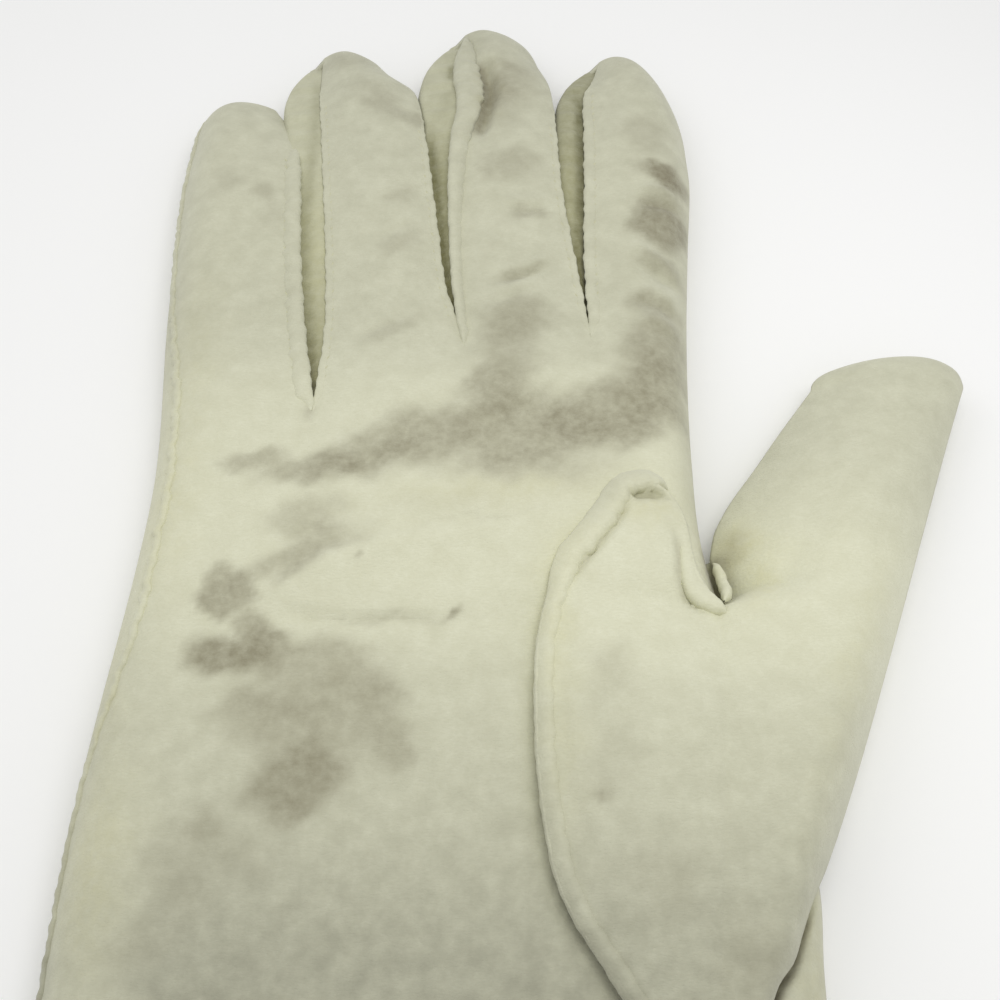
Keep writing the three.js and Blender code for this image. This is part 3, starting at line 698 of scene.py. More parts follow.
@dataclass
class Hand:
    """The hand's outline and the four strips that it is made of, little finger first."""

    ulnar_edge: SmoothLine = SmoothLine((
        (-121, -45.5), (-96, -45.8), (-60, -46.3), (-42, -45.9), (-10, -43.5), (8, -43.1),
        (38, -45.6), (67, -46.9), (82, -46.4)))
    fold_edge: SmoothLine = SmoothLine((
        (-121, 51.5), (-96, 52.2), (-70, 53.4), (-57, 54.1), (-34, 48.8), (-9, 43.3), (8, 42.8),
        (31, 43.8), (54, 45.8), (70, 47.4), (80, 47.3)))
    slits: tuple[Slit, ...] = (
        Slit("little_ring", (-17.8, 15.7), -21.0,
             ((15.7, -17.8, -17.8), (32, -20.7, -21.8), (50, -23.0, -26.2), (66, -24.4, -29.0),
              (76, -25.7, -30.2), (84, -27.9, -31.6), (91, -31.6, -31.6)),
             ((15.7, -17.8, -17.8), (32, -17.3, -20.8), (50, -18.5, -24.6), (66, -20.1, -26.6),
              (82, -21.8, -29.4), (91, -22.9, -30.6), (99, -23.4, -28.8), (106.6, -23.8, -23.8))),
        Slit("ring_middle", (6.2, 29.7), 5.0,
             ((29.7, 6.2, 6.2), (41, 2.8, 0.4), (54, 1.1, -2.8), (67, -0.5, -4.6), (79, -2.0, -5.8),
              (94.6, -4.8, -7.6), (101.8, -10.2, -10.2)),
             ((29.7, 6.2, 6.2), (41, 4.6, 2.2), (51, 3.9, 0.1), (67, 3.6, -2.2), (83, 4.9, -3.7),
              (94.6, 6.2, -4.7), (104, 6.2, -2.6), (113.8, 4.6, 4.6))),
        Slit("middle_index", (27.0, FINGER_BASE_Y), 29.0,
             ((FINGER_BASE_Y, 27, 27), (45, 25.4, 23.4), (54, 24.3, 21.6), (66, 23.1, 19.9),
              (85, 22.4, 18.9), (96, 21.6, 18.8), (104.4, 19.5, 19.5)),
             ((FINGER_BASE_Y, 27, 27), (47, 26.7, 24.8), (66, 27.4, 22.2), (82, 27.9, 21.6),
              (92, 28.3, 22.8), (99, 30.4, 25.9), (105.5, 31.8, 31.8))),
    )
    fingers: tuple[Finger, ...] = (
        Finger("little", (-38.3, 93.0), 2.3, 2.0),
        Finger("ring", (-18.8, 108.6), 1.8, 1.45),
        Finger("middle", (8.6, 115.3), 1.7, 1.75),
        Finger("index", (34.8, 106.6), 1.85, 1.85),
    )
    relief: Relief = field(default_factory=lambda: Relief(PALM_DENTS, PALM_CREASES))
    strips: list[Strip] = field(init=False, default_factory=list)

    def __post_init__(self) -> None:
        """Lays out the four strips, each between two slits or a slit and an outer edge."""
        gaps = (None, *self.slits, None)
        for finger, before, after in zip(self.fingers, gaps[:-1], gaps[1:]):
            left, right = self._edge(finger, before, Side.LEFT), self._edge(finger, after, Side.RIGHT)
            self.strips.append(Strip(finger, left, right, self.relief))

    def _edge(self, finger: Finger, slit: Slit | None, side: Side) -> StripEdge:
        """One side of a finger's strip, which is the other finger's side of the slit there.

        Args:
            finger: The finger.
            slit: The slit on that side, or None at the hand's outer edge.
            side: The side of the finger.

        Returns:
            The strip's edge.
        """
        power = finger.left_power if side is Side.LEFT else finger.right_power
        if slit is None:
            line = self.ulnar_edge if side is Side.LEFT else self.fold_edge
            return StripEdge(finger, line, line, line.rows[-1][0], power)
        rows = slit.right if side is Side.LEFT else slit.left
        palm = SmoothLine(tuple((y, x) for y, x, _ in rows))
        back = SmoothLine(tuple((y, x) for y, _, x in rows))
        return StripEdge(finger, palm, back, rows[-1][0], power, slit)

    def palm_height(self, x: Array, y: Array) -> Array:
        """Height of the palm side at places in plan below the fingers.

        Args:
            x: Places across the hand in mm.
            y: Places along the hand in mm.

        Returns:
            Height in mm at each place.
        """
        x, y = np.broadcast_arrays(np.asarray(x, float), np.asarray(y, float))
        height = np.zeros(x.shape)
        for strip in self.strips:
            left, right = strip.left.palm(y), strip.right.palm(y)
            height = np.where(x > left, strip.palm_side(share(x, left, right), y)[..., 2], height)
        first = self.strips[0]
        return np.where(x > first.left.palm(y), height, first.palm_side(np.zeros(x.shape), y)[..., 2])


# Stained patches of the palm side, and narrow darkenings along the creases' valleys that are painted shade:
# x, y, half length, half width, turn, strength and crispness of the rim.
SOIL_AND_CREASE_SHADE = tuple(Spot(*row) for row in (
    (28.5, 12.4, 10.5, 7.0, 12, 0.56, 2.6), (15.5, 10.0, 11, 8.0, 4, 0.54, 2.4),
    (30.2, 9.6, 6.0, 3.6, 8, 0.32, 1.8), (11.4, 18.0, 5.4, 5.6, 25, 0.54, 2.0),
    (0.6, 8.8, 9.4, 5.8, 14, 0.55, 2.3), (13, 2.6, 11, 3.4, 0, 0.34, 1.7),
    (-8.5, 4.4, 8.4, 4.2, 12, 0.48, 2.0), (-16, 1.9, 8.6, 2.9, 7, 0.52, 2.0),
    (-25.8, 3.7, 4.6, 2.1, 12, 0.46, 2.0), (36.2, 17.4, 6.4, 8.0, 30, 0.52, 2.1),
    (38.0, 27, 5.8, 9.0, 0, 0.56, 2.2), (25, 1.2, 6, 3.0, 20, 0.20, 1.4), (5, -3.8, 14, 2.6, 5, 0.10, 1.2),
    (-27.1, -19.1, 4.2, 4.5, 0, 0.60, 4.2), (-28.6, -20.2, 1.8, 2.0, 0, 0.14, 1.5),
    (-18.5, -14.8, 7.2, 2.4, 27, 0.42, 2.0), (-12.6, -11.0, 6.5, 2.6, 25, 0.26, 1.6),
    (-16.4, -7.2, 5.6, 4.2, 25, 0.36, 2.0), (-22.2, -25.4, 3.4, 2.6, -35, 0.52, 2.4),
    (-26.0, -29.4, 6.0, 3.2, -8, 0.78, 2.6), (-20.0, -28.6, 4.2, 3.2, -20, 0.40, 2.0),
    (-12.5, -30.6, 8.5, 4.2, -8, 0.40, 2.0), (-17, -39.0, 7.5, 5.4, 0, 0.36, 2.0),
    (-15.2, -47.4, 6.8, 5.2, 10, 0.60, 2.5), (-11.6, -43.6, 4.6, 3.8, 0, 0.30, 2.2),
    (-14.4, -51.0, 4.2, 2.2, 20, 0.24, 1.8), (-8, -36, 6.5, 5.6, 0, 0.30, 1.9),
    (-4.6, -37.6, 3.6, 4.6, -20, 0.28, 2.0), (-2.4, -42.6, 3.3, 3.8, -30, 0.42, 2.2),
    (-24.0, -36.6, 3.8, 1.8, 10, 0.26, 1.8), (-19.6, -36.4, 5.6, 4.4, 15, 0.24, 1.8),
    (-18.5, 103.6, 5.0, 4.0, 0, 0.20, 1.5), (-26.3, -52.6, 2.8, 2.9, 0, 0.30, 2.2),
    (-28.4, -59.5, 4.8, 6.0, 10, 0.20, 1.6), (-21.2, -56.6, 4.0, 3.4, 0, 0.20, 1.6),
    (-33.5, -68.5, 4.8, 2.8, 25, 0.16, 1.6), (-8.2, -13.8, 0.9, 0.7, 0, 0.36, 1.5),
    (24.8, -50.2, 0.9, 0.7, 10, 0.46, 1.2), (26.4, -49.6, 2.6, 1.6, 0, 0.16, 1.2),
    (6.0, -23.3, 1.3, 0.8, 0, 0.75, 1.5), (-3, -23.7, 9, 0.8, 0, 0.22, 1.4),
    (9.5, -7.0, 7.0, 0.5, 4, 0.12, 1.2), (-15.6, -9.4, 4.4, 0.6, 2, 0.18, 1.3),
    (-13.6, -28.2, 6.4, 0.6, 1, 0.16, 1.3), (-17.0, -37.2, 5.4, 0.6, 2, 0.16, 1.3),
    (-6.8, -34.9, 4.0, 0.7, 10, 0.16, 1.3), (-13.0, -44.6, 4.6, 0.7, 8, 0.14, 1.3),
    (27.3, -33.6, 3.4, 4.0, 0, 0.20, 1.4), (27.5, -44.9, 3.6, 3.0, 0, 0.12, 1.3),
    (32.1, -61.5, 4.4, 5.0, 0, 0.16, 1.4), (42.0, -70.0, 4.6, 6.0, -15, 0.20, 1.5),
    (42.8, 67.4, 3.8, 3.8, 0, 0.92, 2.4), (39.2, 68.4, 3.8, 2.3, -10, 0.40, 1.7),
    (39.2, 78, 4.6, 5.4, 0, 0.28, 1.8), (40.6, 55.6, 5.8, 6.4, 0, 0.76, 2.8),
    (42.6, 60.6, 3.6, 3.6, 0, 0.34, 1.8), (38.4, 58.8, 3.6, 1.6, 0, 0.26, 1.7),
    (40.4, 45.6, 4.6, 2.0, -22, 0.46, 1.8), (38.6, 36.6, 5.2, 2.2, -18, 0.50, 1.9),
    (13.8, 94.6, 5.4, 5.8, -30, 0.36, 1.6), (12.6, 87.0, 4.2, 6.4, -12, 0.26, 1.5),
    (14.2, 70.2, 6.0, 4.2, 0, 0.32, 2.0), (9.2, 67.0, 1.3, 1.7, 0, 0.28, 1.7),
    (17.0, 58.0, 3.4, 1.5, -8, 0.44, 1.7), (15.4, 43.6, 5.2, 1.3, 20, 0.40, 1.7),
    (14.6, 33.6, 6.8, 4.6, 14, 0.50, 2.0), (13.6, 25.6, 5.6, 5.4, 0, 0.42, 1.8),
    (-10.6, 88.2, 3.8, 3.4, -40, 0.32, 1.8), (-4.8, 84.2, 4.0, 2.2, -20, 0.34, 1.8),
    (-14.5, 93.0, 4.0, 3.4, 0, 0.14, 1.5), (-5.6, 62.2, 3.0, 1.8, 0, 0.24, 1.7),
    (-5.6, 50.5, 4.4, 2.0, 35, 0.26, 1.6), (-6.6, 31.0, 5.2, 2.0, 30, 0.28, 1.7),
    (-30.2, 63.6, 2.6, 2.1, 0, 0.30, 1.9), (-37.2, 66.0, 3.0, 3.2, 0, 0.20, 1.6),
    (-28.6, 57.6, 2.4, 4.0, 0, 0.16, 1.6),
))

# Lines of painted shade on the hand, in the middle finger's hollow, under the thumb's lap and in the
# crotches: the chain of points, width, strength and tail.
PALM_SHADE_LINES = tuple(Crease(*row) for row in (
    (((7.6, 103.5), (8.2, 98.5), (8.9, 94.3), (9.2, 90.0), (8.7, 85.6), (8.0, 81.6), (7.2, 77.6)), 1.5,
     0.78, 4.0),
    (((9.6, 98.0), (10.8, 92.0), (10.0, 85.0)), 2.4, 0.40, 4.0),
    (((8.4, 100.6), (12.4, 100.2), (17.0, 96.5)), 1.7, 0.26, 4.0),
    (((52.1, -62.2), (50.3, -65.2), (49.0, -68.2), (47.6, -70.6), (46.1, -72.6), (45.2, -74.4), (44,
     -77.5)), 0.9, 0.95, 3.0),
    (((43.4, -8.2), (43.5, -12.0), (43.8, -15.5), (44.8, -19.0)), 1.2, 0.85, 2.0),
    (((-17.9, 16.5), (-18.6, 11.0)), 0.9, 0.3, 2.5),
))

# Lines of painted shade on the thumb, in its crotch and recess and beside its raised seams.
THUMB_SHADE_LINES = tuple(Crease(*row) for row in (
    (((45.0, -8.6), (44.3, -12.5), (44.0, -16.5)), 1.5, 0.60, 2.0),
    (((48.4, -5.0), (47.2, -9.0), (46.6, -13.5)), 1.9, 0.28, 3.0),
    (((21.9, -19.5), (24.2, -15.8), (27.0, -11.9), (29.8, -7.8), (31.4, -5.0)), 0.5, 0.30, 4.0),
    (((31.2, -5.0), (32.6, -4.4), (34.4, -4.2), (35.8, -5.2)), 1.1, 0.40, 1.6),
    (((37.2, -9.5), (37.9, -13.7), (37.8, -17.1), (38.4, -20.2), (39.6, -22.1), (42.4, -23.6)), 0.7, 0.34,
     5.0),
))

# Patches of yellow-olive tint, given as the stained patches are: beside the thumb's seams and tab, in its
# recess, fold and lap gap and in the middle finger's hollow it is painted shade; elsewhere just a yellow
# tint.
WARM_TINT_AND_SHADE = tuple(Spot(*row) for row in (
    (22, -12, 3.4, 5.0, -35, 0.4), (34, -6.5, 4.0, 3.4, 0, 0.8), (20.0, -27, 2.4, 12, 0, 0.5),
    (20.5, -44, 3.0, 10, 0, 0.4), (50, -17, 2.4, 6, -20, 0.7), (60, -34, 2.4, 22, -22, 0.4),
    (-40.5, -59, 5.0, 12, 0, 0.8), (-43.5, -30, 3.0, 16, 8, 0.6), (-39, -3, 5.0, 16, 0, 0.55),
    (-39, 28, 5.0, 16, 0, 0.4), (52, -70, 3.0, 10, 0, 0.8), (12, -2.0, 16, 2.6, 4, 0.5),
    (47.4, -9.5, 2.8, 4.8, -25, 0.95, 1.4), (10.0, 92.0, 2.4, 9.5, 0, 0.8, 1.5),
))

# Greying along the hand, darker towards the cuff and over the fingers: in part dinginess, in part painted
# shade where the light falls off.
PALM_HAZE_AND_SHADE = SmoothLine((
    (-121, 0.74), (-76, 0.70), (-69, 0.66), (-62, 0.55), (-50, 0.37), (-40, 0.27), (-32, 0.19), (-24, 0.08),
    (-14, 0.03), (5, 0.05), (18, 0.12), (27, 0.25), (36, 0.30), (60, 0.29), (85, 0.34), (115, 0.44)))

# The same greying on the thumb, in part painted shade.
THUMB_HAZE_AND_SHADE = SmoothLine((
    (-88, 0.66), (-76, 0.60), (-66, 0.54), (-60, 0.44), (-50, 0.30), (-38, 0.19), (-30, 0.05), (-14, 0.0),
    (-5, 0.12), (8, 0.24), (29, 0.28)))


def patches_at(spots: tuple[Spot, ...], points: Array) -> Array:
    """Strength of patches by place in plan, with their rims drawn out of round by small waves.

    Args:
        spots: The patches.
        points: Places in mm.

    Returns:
        1 less the product of what each patch leaves clean.
    """
    x, y = points[:, 0], points[:, 1]
    bent_x = x + 0.75 * np.sin(y / 1.35 + 1.3 * np.sin(x / 2.1)) + 0.35 * np.sin(y / 0.62 + x / 0.9)
    bent_y = y + 0.55 * np.sin(x / 1.6 + 1.1 * np.sin(y / 1.9)) + 0.30 * np.sin(x / 0.7 - y / 1.1)
    left_clean = np.ones(len(points))
    for spot in spots:
        left_clean = left_clean * (1.0 - spot.at(bent_x, bent_y))
    return 1.0 - left_clean


def wear_and_shade(points: Array, haze_and_shade: SmoothLine, upper: Array | float = 1.0,
         shade_lines: tuple[Crease, ...] = ()) -> dict[str, Array]:
    """The three kinds of marks on a cloth: stained patches with lines of painted shade, a greying that is
    partly painted shade, and a yellow tint that is partly painted shade.

    Args:
        points: Places in mm.
        haze_and_shade: Greying along the hand, part dinginess and part painted shade.
        upper: 1 where the cloth faces up, 0 on the back.
        shade_lines: Lines of painted shade on the cloth.

    Returns:
        A value for each point, by attribute name.
    """
    clean = 1.0 - patches_at(SOIL_AND_CREASE_SHADE, points)
    # Each shade line darkens the cloth as painted shade.
    for fold in shade_lines:
        clean = clean * (1.0 - fold.at(points[:, 0], points[:, 1]))
    return {
        "soil": (1.0 - clean) * upper,
        "haze_and_shade": haze_and_shade(points[:, 1]),
        "warm": patches_at(WARM_TINT_AND_SHADE, points) * upper,
    }


# The usual spread of a noise texture, its roughness, how many bands a wave texture has in a unit at scale 1,
# and what both finishes share.
NOISE_SPREAD = (0.28, 0.72)
NOISE_ROUGHNESS = 0.6
WAVES_A_UNIT = 6.0
BUMP_STRENGTH = 0.4
COTTON_IOR = 1.5


def linear(hex_colour: str) -> tuple[float, float, float, float]:
    """An sRGB hex colour as linear light, with full alpha.

    Args:
        hex_colour: Six hex digits.

    Returns:
        Red, green, blue and alpha.
    """
    srgb = [int(hex_colour[i:i + 2], 16) / 255.0 for i in (0, 2, 4)]
    light = [c / 12.92 if c <= 0.04045 else ((c + 0.055) / 1.055) ** 2.4 for c in srgb]
    return (light[0], light[1], light[2], 1.0)


def add_node(tree: bpy.types.NodeTree, kind: str, settings: dict | None = None,
             inputs: dict | None = None) -> bpy.types.Node:
    """Adds a node to a material with its settings, its constant inputs and its links.

    Args:
        tree: The material's node tree.
        kind: The node's type name.
        settings: Node properties by name.
        inputs: Sockets by name or number: a value, or another node's output socket to link from.

    Returns:
        The new node.
    """
    node = tree.nodes.new(kind)
    for name, value in (settings or {}).items():
        setattr(node, name, value)
    for name, value in (inputs or {}).items():
        if isinstance(value, bpy.types.NodeSocket):
            tree.links.new(value, node.inputs[name])
        else:
            node.inputs[name].default_value = value
    return node


def start_material(name: str) -> tuple[bpy.types.Material, bpy.types.NodeSocket]:
    """Starts a material with nothing in it but the piece's object coordinates.

    Args:
        name: The real material's name.

    Returns:
        The material, and the coordinates' socket.
    """
    material = bpy.data.materials.new(name)
    material.use_nodes = True
    material.node_tree.nodes.clear()
    return material, add_node(material.node_tree, "ShaderNodeTexCoord").outputs["Object"]


def end_material(material: bpy.types.Material, height: bpy.types.NodeSocket, relief_mm: float,
                 inputs: dict) -> bpy.types.Material:
    """Ends a material with its bump, its shader and its output.

    Args:
        material: The material.
        height: The bump's height, from 0 to 1.
        relief_mm: The real depth of the bump.
        inputs: The shader's other sockets by name.

    Returns:
        The same material.
    """
    tree = material.node_tree
    bump = add_node(tree, "ShaderNodeBump", {}, {
        "Height": height, "Strength": BUMP_STRENGTH, "Distance": relief_mm * MM})
    shade = add_node(tree, "ShaderNodeBsdfPrincipled", {}, {
        "Normal": bump.outputs["Normal"], "IOR": COTTON_IOR, **inputs})
    add_node(tree, "ShaderNodeOutputMaterial", {}, {"Surface": shade.outputs["BSDF"]})
    return material


def grain(tree: bpy.types.NodeTree, vector: bpy.types.NodeSocket, size_mm: float, detail: float,
          low: float = 0.0, high: float = 1.0) -> bpy.types.NodeSocket:
    """Noise of a real size, with its usual spread stretched between two values.

    Args:
        tree: The material's node tree.
        vector: The coordinates.
        size_mm: The size of the largest spots.
        detail: How many finer levels lie on it.
        low: The value of its low places.
        high: The value of its high places.

    Returns:
        The value's socket.
    """
    noise = add_node(tree, "ShaderNodeTexNoise", {}, {
        "Vector": vector, "Scale": 1 / (size_mm * MM), "Detail": detail,
        "Roughness": NOISE_ROUGHNESS})
    return add_node(tree, "ShaderNodeMapRange", {}, {
        "Value": noise.outputs["Fac"], "From Min": NOISE_SPREAD[0], "From Max": NOISE_SPREAD[1],
        "To Min": low, "To Max": high}).outputs["Result"]


@dataclass(frozen=True)
class NappedCotton:
    """Suede-finished cotton: warp-knitted cotton brushed to a short nap, which reads as matt and felt-like.

    The nap scatters light at grazing angles, so there is sheen and no gloss. The fine bump and speckle are
    the nap on its fine cross ribs, about 0.4 mm apart and drawn a little coarser than the knit's own. The
    faint mottling is how the nap lies, some 3 mm across.
    """

    name: str
    clean: str
    faded: str
    # Tints of the greying, of the stained patches and of the yellowing, each also carrying painted shade.
    haze_and_shade_tint: str = "8f8e7d"
    soil_and_shade_tint: str = "868068"
    yellow_tint: str = "d3cf9f"
    nap_mm: float = 0.42
    lie_mm: float = 3.4
    stain_mm: float = 1.5
    relief_mm: float = 0.16
    ribs: tuple[float, float, float] = (0.55, 1.5, 1.0)
    roughness: float = 0.95
    sheen: float = 0.25
    sheen_roughness: float = 0.55
    specular: float = 0.2

    def build(self) -> bpy.types.Material:
        """Makes the material: colours laid over each other through noise and the piece's marks, many of which
        are painted shade, then the nap.

        Returns:
            The material.
        """
        material, place = start_material(self.name)
        tree = material.node_tree
        ribbed = add_node(tree, "ShaderNodeMapping", {}, {
            "Vector": place, "Scale": self.ribs}).outputs["Vector"]
        colour = linear(self.clean)
        # The last three tints follow the piece's marks: stained, greyed and yellowing cloth, and painted
        # shade.
        for tint, vector, size_mm, detail, low, high, kind in (
                (self.faded, place, self.lie_mm, 4.0, 0.0, 0.5, None),
                (self.faded, ribbed, self.nap_mm, 2.0, 0.0, 0.46, None),
                (self.yellow_tint, place, self.stain_mm, 3.0, 0.2, 0.6, "warm"),
                (self.haze_and_shade_tint, place, self.lie_mm, 5.0, 0.8, 1.2, "haze_and_shade"),
                (self.soil_and_shade_tint, place, self.stain_mm, 5.0, 0.72, 1.2, "soil")):
            amount = grain(tree, vector, size_mm, detail, low, high)
            if kind:
                marks_and_shade = add_node(tree, "ShaderNodeAttribute", {"attribute_name": kind}).outputs["Fac"]
                amount = add_node(tree, "ShaderNodeMath", {"operation": "MULTIPLY", "use_clamp": True}, {
                    0: marks_and_shade, 1: amount}).outputs["Value"]
            colour = add_node(tree, "ShaderNodeMix", {"data_type": "RGBA"}, {
                "Factor": amount, "A": colour, "B": linear(tint)}).outputs["Result"]
        return end_material(material, grain(tree, ribbed, self.nap_mm, 3.0), self.relief_mm, {
            "Base Color": colour, "Roughness": self.roughness, "Sheen Weight": self.sheen,
            "Sheen Roughness": self.sheen_roughness, "Specular IOR Level": self.specular})


@dataclass(frozen=True)
class SewingCotton:
    """Three-ply mercerised sewing cotton, dyed to match: the ply gives each stitch a fine oblique ridge."""

    name: str = "sewing_cotton"
    colour: str = "d2d1b2"
    shaded: str = "bdbb98"
    ply_mm: float = 0.28
    tone_mm: float = 4.0
    relief_mm: float = 0.08
    roughness: float = 0.7
    sheen: float = 0.2

    def build(self) -> bpy.types.Material:
        """Makes the thread's material, with a wave for its ply and a small change of colour along it.

        Returns:
            The material.
        """
        material, place = start_material(self.name)
        tree = material.node_tree
        tone = add_node(tree, "ShaderNodeTexNoise", {}, {
            "Vector": place, "Scale": 1 / (self.tone_mm * MM), "Detail": 2.0})
        ply = add_node(tree, "ShaderNodeTexWave", {"wave_type": "BANDS", "bands_direction": "DIAGONAL"}, {
            "Vector": place, "Scale": 1 / (self.ply_mm * MM) / WAVES_A_UNIT, "Distortion": 0.6})
        colour = add_node(tree, "ShaderNodeMix", {"data_type": "RGBA"}, {
            "Factor": tone.outputs["Fac"], "A": linear(self.colour), "B": linear(self.shaded)})
        return end_material(material, ply.outputs["Fac"], self.relief_mm, {
            "Base Color": colour.outputs["Result"], "Roughness": self.roughness,
            "Sheen Weight": self.sheen})


def dress(piece: bpy.types.Object, material: bpy.types.Material,
          nodes: tuple[str, ...] = ()) -> None:
    """Gives a piece its material and its place in the frame.

    Args:
        piece: The piece.
        material: Its material.
        nodes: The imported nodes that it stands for.
    """
    piece.data.materials.append(material)
    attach(piece, "root")
    if nodes:
        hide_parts(*nodes)
    LOG.info("%s: %d points, %d faces", piece.name, len(piece.data.vertices), len(piece.data.polygons))


def spread_columns(count: int, gather: float = 0.7) -> Array:
    """Shares from 0 to 1 that lie closer together towards both ends.

    Args:
        count: How many columns.
        gather: 0 for even columns, 1 for a full cosine spread.

    Returns:
        The shares.
    """
    t = np.linspace(0.0, 1.0, count)
    return mix(t, 0.5 - 0.5 * np.cos(math.pi * t), gather)


def inside_outline(x: Array, y: Array, outline: Array) -> Flags:
    """Whether places are inside a closed outline, by counting the sides that a line to the right crosses.

    Args:
        x: Places across the hand in mm.
        y: Places along the hand in mm.
        outline: The outline's corners, in order.

    Returns:
        True for each place inside.
    """
    inside = np.zeros(x.shape, bool)
    for (ax, ay), (bx, by) in zip(outline, np.roll(outline, -1, axis=0)):
        spans = (ay > y) != (by > y)
        cross = ax + (y - ay) * (bx - ax) / (by - ay if by != ay else 1e-9)
        inside ^= spans & (x < cross)
    return inside


@dataclass
class Thumb:
    """The set-in thumb: a lobe sewn on the palm, and a tube folded flat that lies beside the hand."""

    hand: Hand
    bottom_y: float = -88.0
    bottom_x: float = 37.0
    seam: SmoothLine = SmoothLine((
        (-88, 36.5), (-80, 30.4), (-72, 25.4), (-62, 19.6), (-50, 17.2), (-38, 16.6), (-27, 17.2),
        (-18, 19.6), (-11, 23.6), (-5, 27.8)))
    arch_top: tuple[float, float] = (33.0, -0.6)
    tongue_tip: tuple[float, float] = (43.2, -21.2)
    tongue_top_x: float = 37.6
    tongue_clear: float = 0.35
    closes_y: float = -17.0
    lap_ends_y: float = -57.0
    under_reach: float = 0.45
    seam_width: float = 2.9
    web_top: float = -8.8
    web_level: float = 4.6
    web_sag: float = 1.4
    under_power: float = 2.6
    closing_from: float = 6.0
    edge_lift: float = 0.5
    tongue_bow: float = 4.4
    crown: tuple[float, float] = (1.6, 2.4)
    arch_rows: float = 4.0
    tip_rows: float = 7.0
    hole_clear: float = 18.0
    hole_lap: tuple[tuple[float, float], ...] = ((-60.0, 4.0), (-66.0, 6.0), (-74.0, 5.0))
    lies_clear: float = 0.1
    rise_run: float = 20.0
    foot_run: float = 16.0
    crown_run: tuple[float, float] = (12.0, 20.0)
    tongue_run: float = 15.0
    plateau_run: float = 14.0
    held_tip: float = 6.0
    lap_lift: float = 0.8
    lap_run: float = 6.0
    lobe_columns: int = 34
    tube_columns: int = 52
    route_pitch: float = 0.4
    arch_welt: tuple[tuple[float, ...], ...] = (
        (19.0, -17.8, 15.3, 22.2, -19.2, 17.3), (19.4, -16.0, 15.2, 22.8, -17.6, 17.3),
        (20.7, -12.5, 15.0, 23.9, -15.5, 17.2), (23.2, -9.2, 14.9, 26.3, -12.5, 17.2),
        (25.8, -5.4, 14.8, 28.9, -8.9, 17.2), (28.2, -1.5, 14.7, 30.7, -5.5, 17.1),
        (30.3, 0.5, 14.5, 31.6, -3.8, 16.9), (32.5, 1.3, 14.3, 32.6, -3.1, 16.6),
        (34.5, 1.2, 14.2, 34.1, -2.9, 16.3), (36.2, 0.0, 14.0, 35.4, -3.2, 15.9),
        (37.4, -2.0, 13.9, 36.3, -4.2, 15.3))
    quirk_welt: tuple[tuple[float, ...], ...] = (
        (36.4, -5.0, 15.4, 38.8, -3.8, 13.0), (37.3, -8.5, 15.7, 40.5, -6.0, 11.6),
        (38.1, -11.4, 15.6, 41.1, -8.8, 10.8), (38.4, -13.8, 15.7, 41.1, -11.9, 10.8),
        (38.4, -17.1, 15.8, 40.9, -14.8, 11.6), (38.8, -19.8, 15.5, 41.2, -17.2, 12.7),
        (39.7, -21.3, 15.0, 41.8, -18.9, 13.4), (41.0, -22.3, 14.6, 42.7, -20.1, 13.8),
        (42.7, -23.0, 14.4, 43.7, -21.2, 14.0), (44.2, -23.0, 14.1, 44.8, -21.7, 13.9))
    tab_welt: tuple[tuple[float, ...], ...] = (
        (43.9, -11.6, 8.6, 45.2, -11.6, 8.6), (43.9, -13.2, 9.3, 45.4, -13.2, 9.3),
        (43.9, -15.2, 9.9, 45.5, -15.2, 10.1), (44.0, -17.0, 11.2, 45.6, -17.2, 11.3),
        (44.0, -18.8, 12.6, 45.5, -19.1, 12.7), (44.0, -20.6, 13.7, 45.2, -21.0, 13.8))
    fold: SmoothLine = SmoothLine((
        (-88, 37.5), (-80, 42.4), (-74, 45.0), (-72.4, 45.9), (-70.2, 47.8), (-66.4, 49.6), (-62, 51.9),
        (-57, 55.1), (-44, 61.2), (-26, 68.8), (-5, 77.4), (12, 84.4), (23, 89.1)))
    inner: SmoothLine = SmoothLine((
        (-9.4, 44.1), (-6.5, 44.7), (-4, 45.5), (1, 48.3), (7, 52.6), (14, 57.4), (23, 63.9)))
    tip: tuple[float, float] = (80.0, 29.3)
    heights: SmoothLine = SmoothLine((
        (-88, 15.2), (-74, 17), (-56, 19), (-30, 19), (-12, 16), (4, 14), (20, 11.5), (29.3, 10.5)))
    pitch: float = 0.85
    relief: Relief = field(default_factory=lambda: Relief((
        Spot(59, -8, 3.4, 15, -25, -0.5),
        Spot(66, -4, 4.0, 17, -25, 0.45),
        Spot(55, -34, 4.0, 16, -20, -0.35),
        Spot(30, -44, 9, 20, 0, 0.35),
    ), (
        Crease(((31.0, -4.8), (32.4, -4.1), (34.0, -3.8), (35.6, -4.3), (36.6, -5.4)), 1.0, -2.0, 1.6),
        Crease(((21.6, -20), (23.9, -16.2), (26.6, -13.1), (29.2, -9.3), (31.2, -5.6)), 0.6, -0.9, 3.0),
        Crease(((36.8, -8.6), (37.8, -11.3), (38.0, -13.7), (37.8, -17.1), (38.2, -20.0), (39.2, -21.7),
                (40.7, -22.8), (42.6, -23.6)), 0.65, -1.0, 5.0),
        Crease(((21.6, -24), (20.4, -36), (21.0, -50), (26.5, -64)), 0.7, -0.22, 8.0),
        Crease(((60, 2), (57, -9), (50.5, -22)), 1.2, -0.3, 8.0),
        Crease(((68, 12), (64, -2), (58, -18), (53, -34)), 1.8, 0.25, 10.0),
    )))

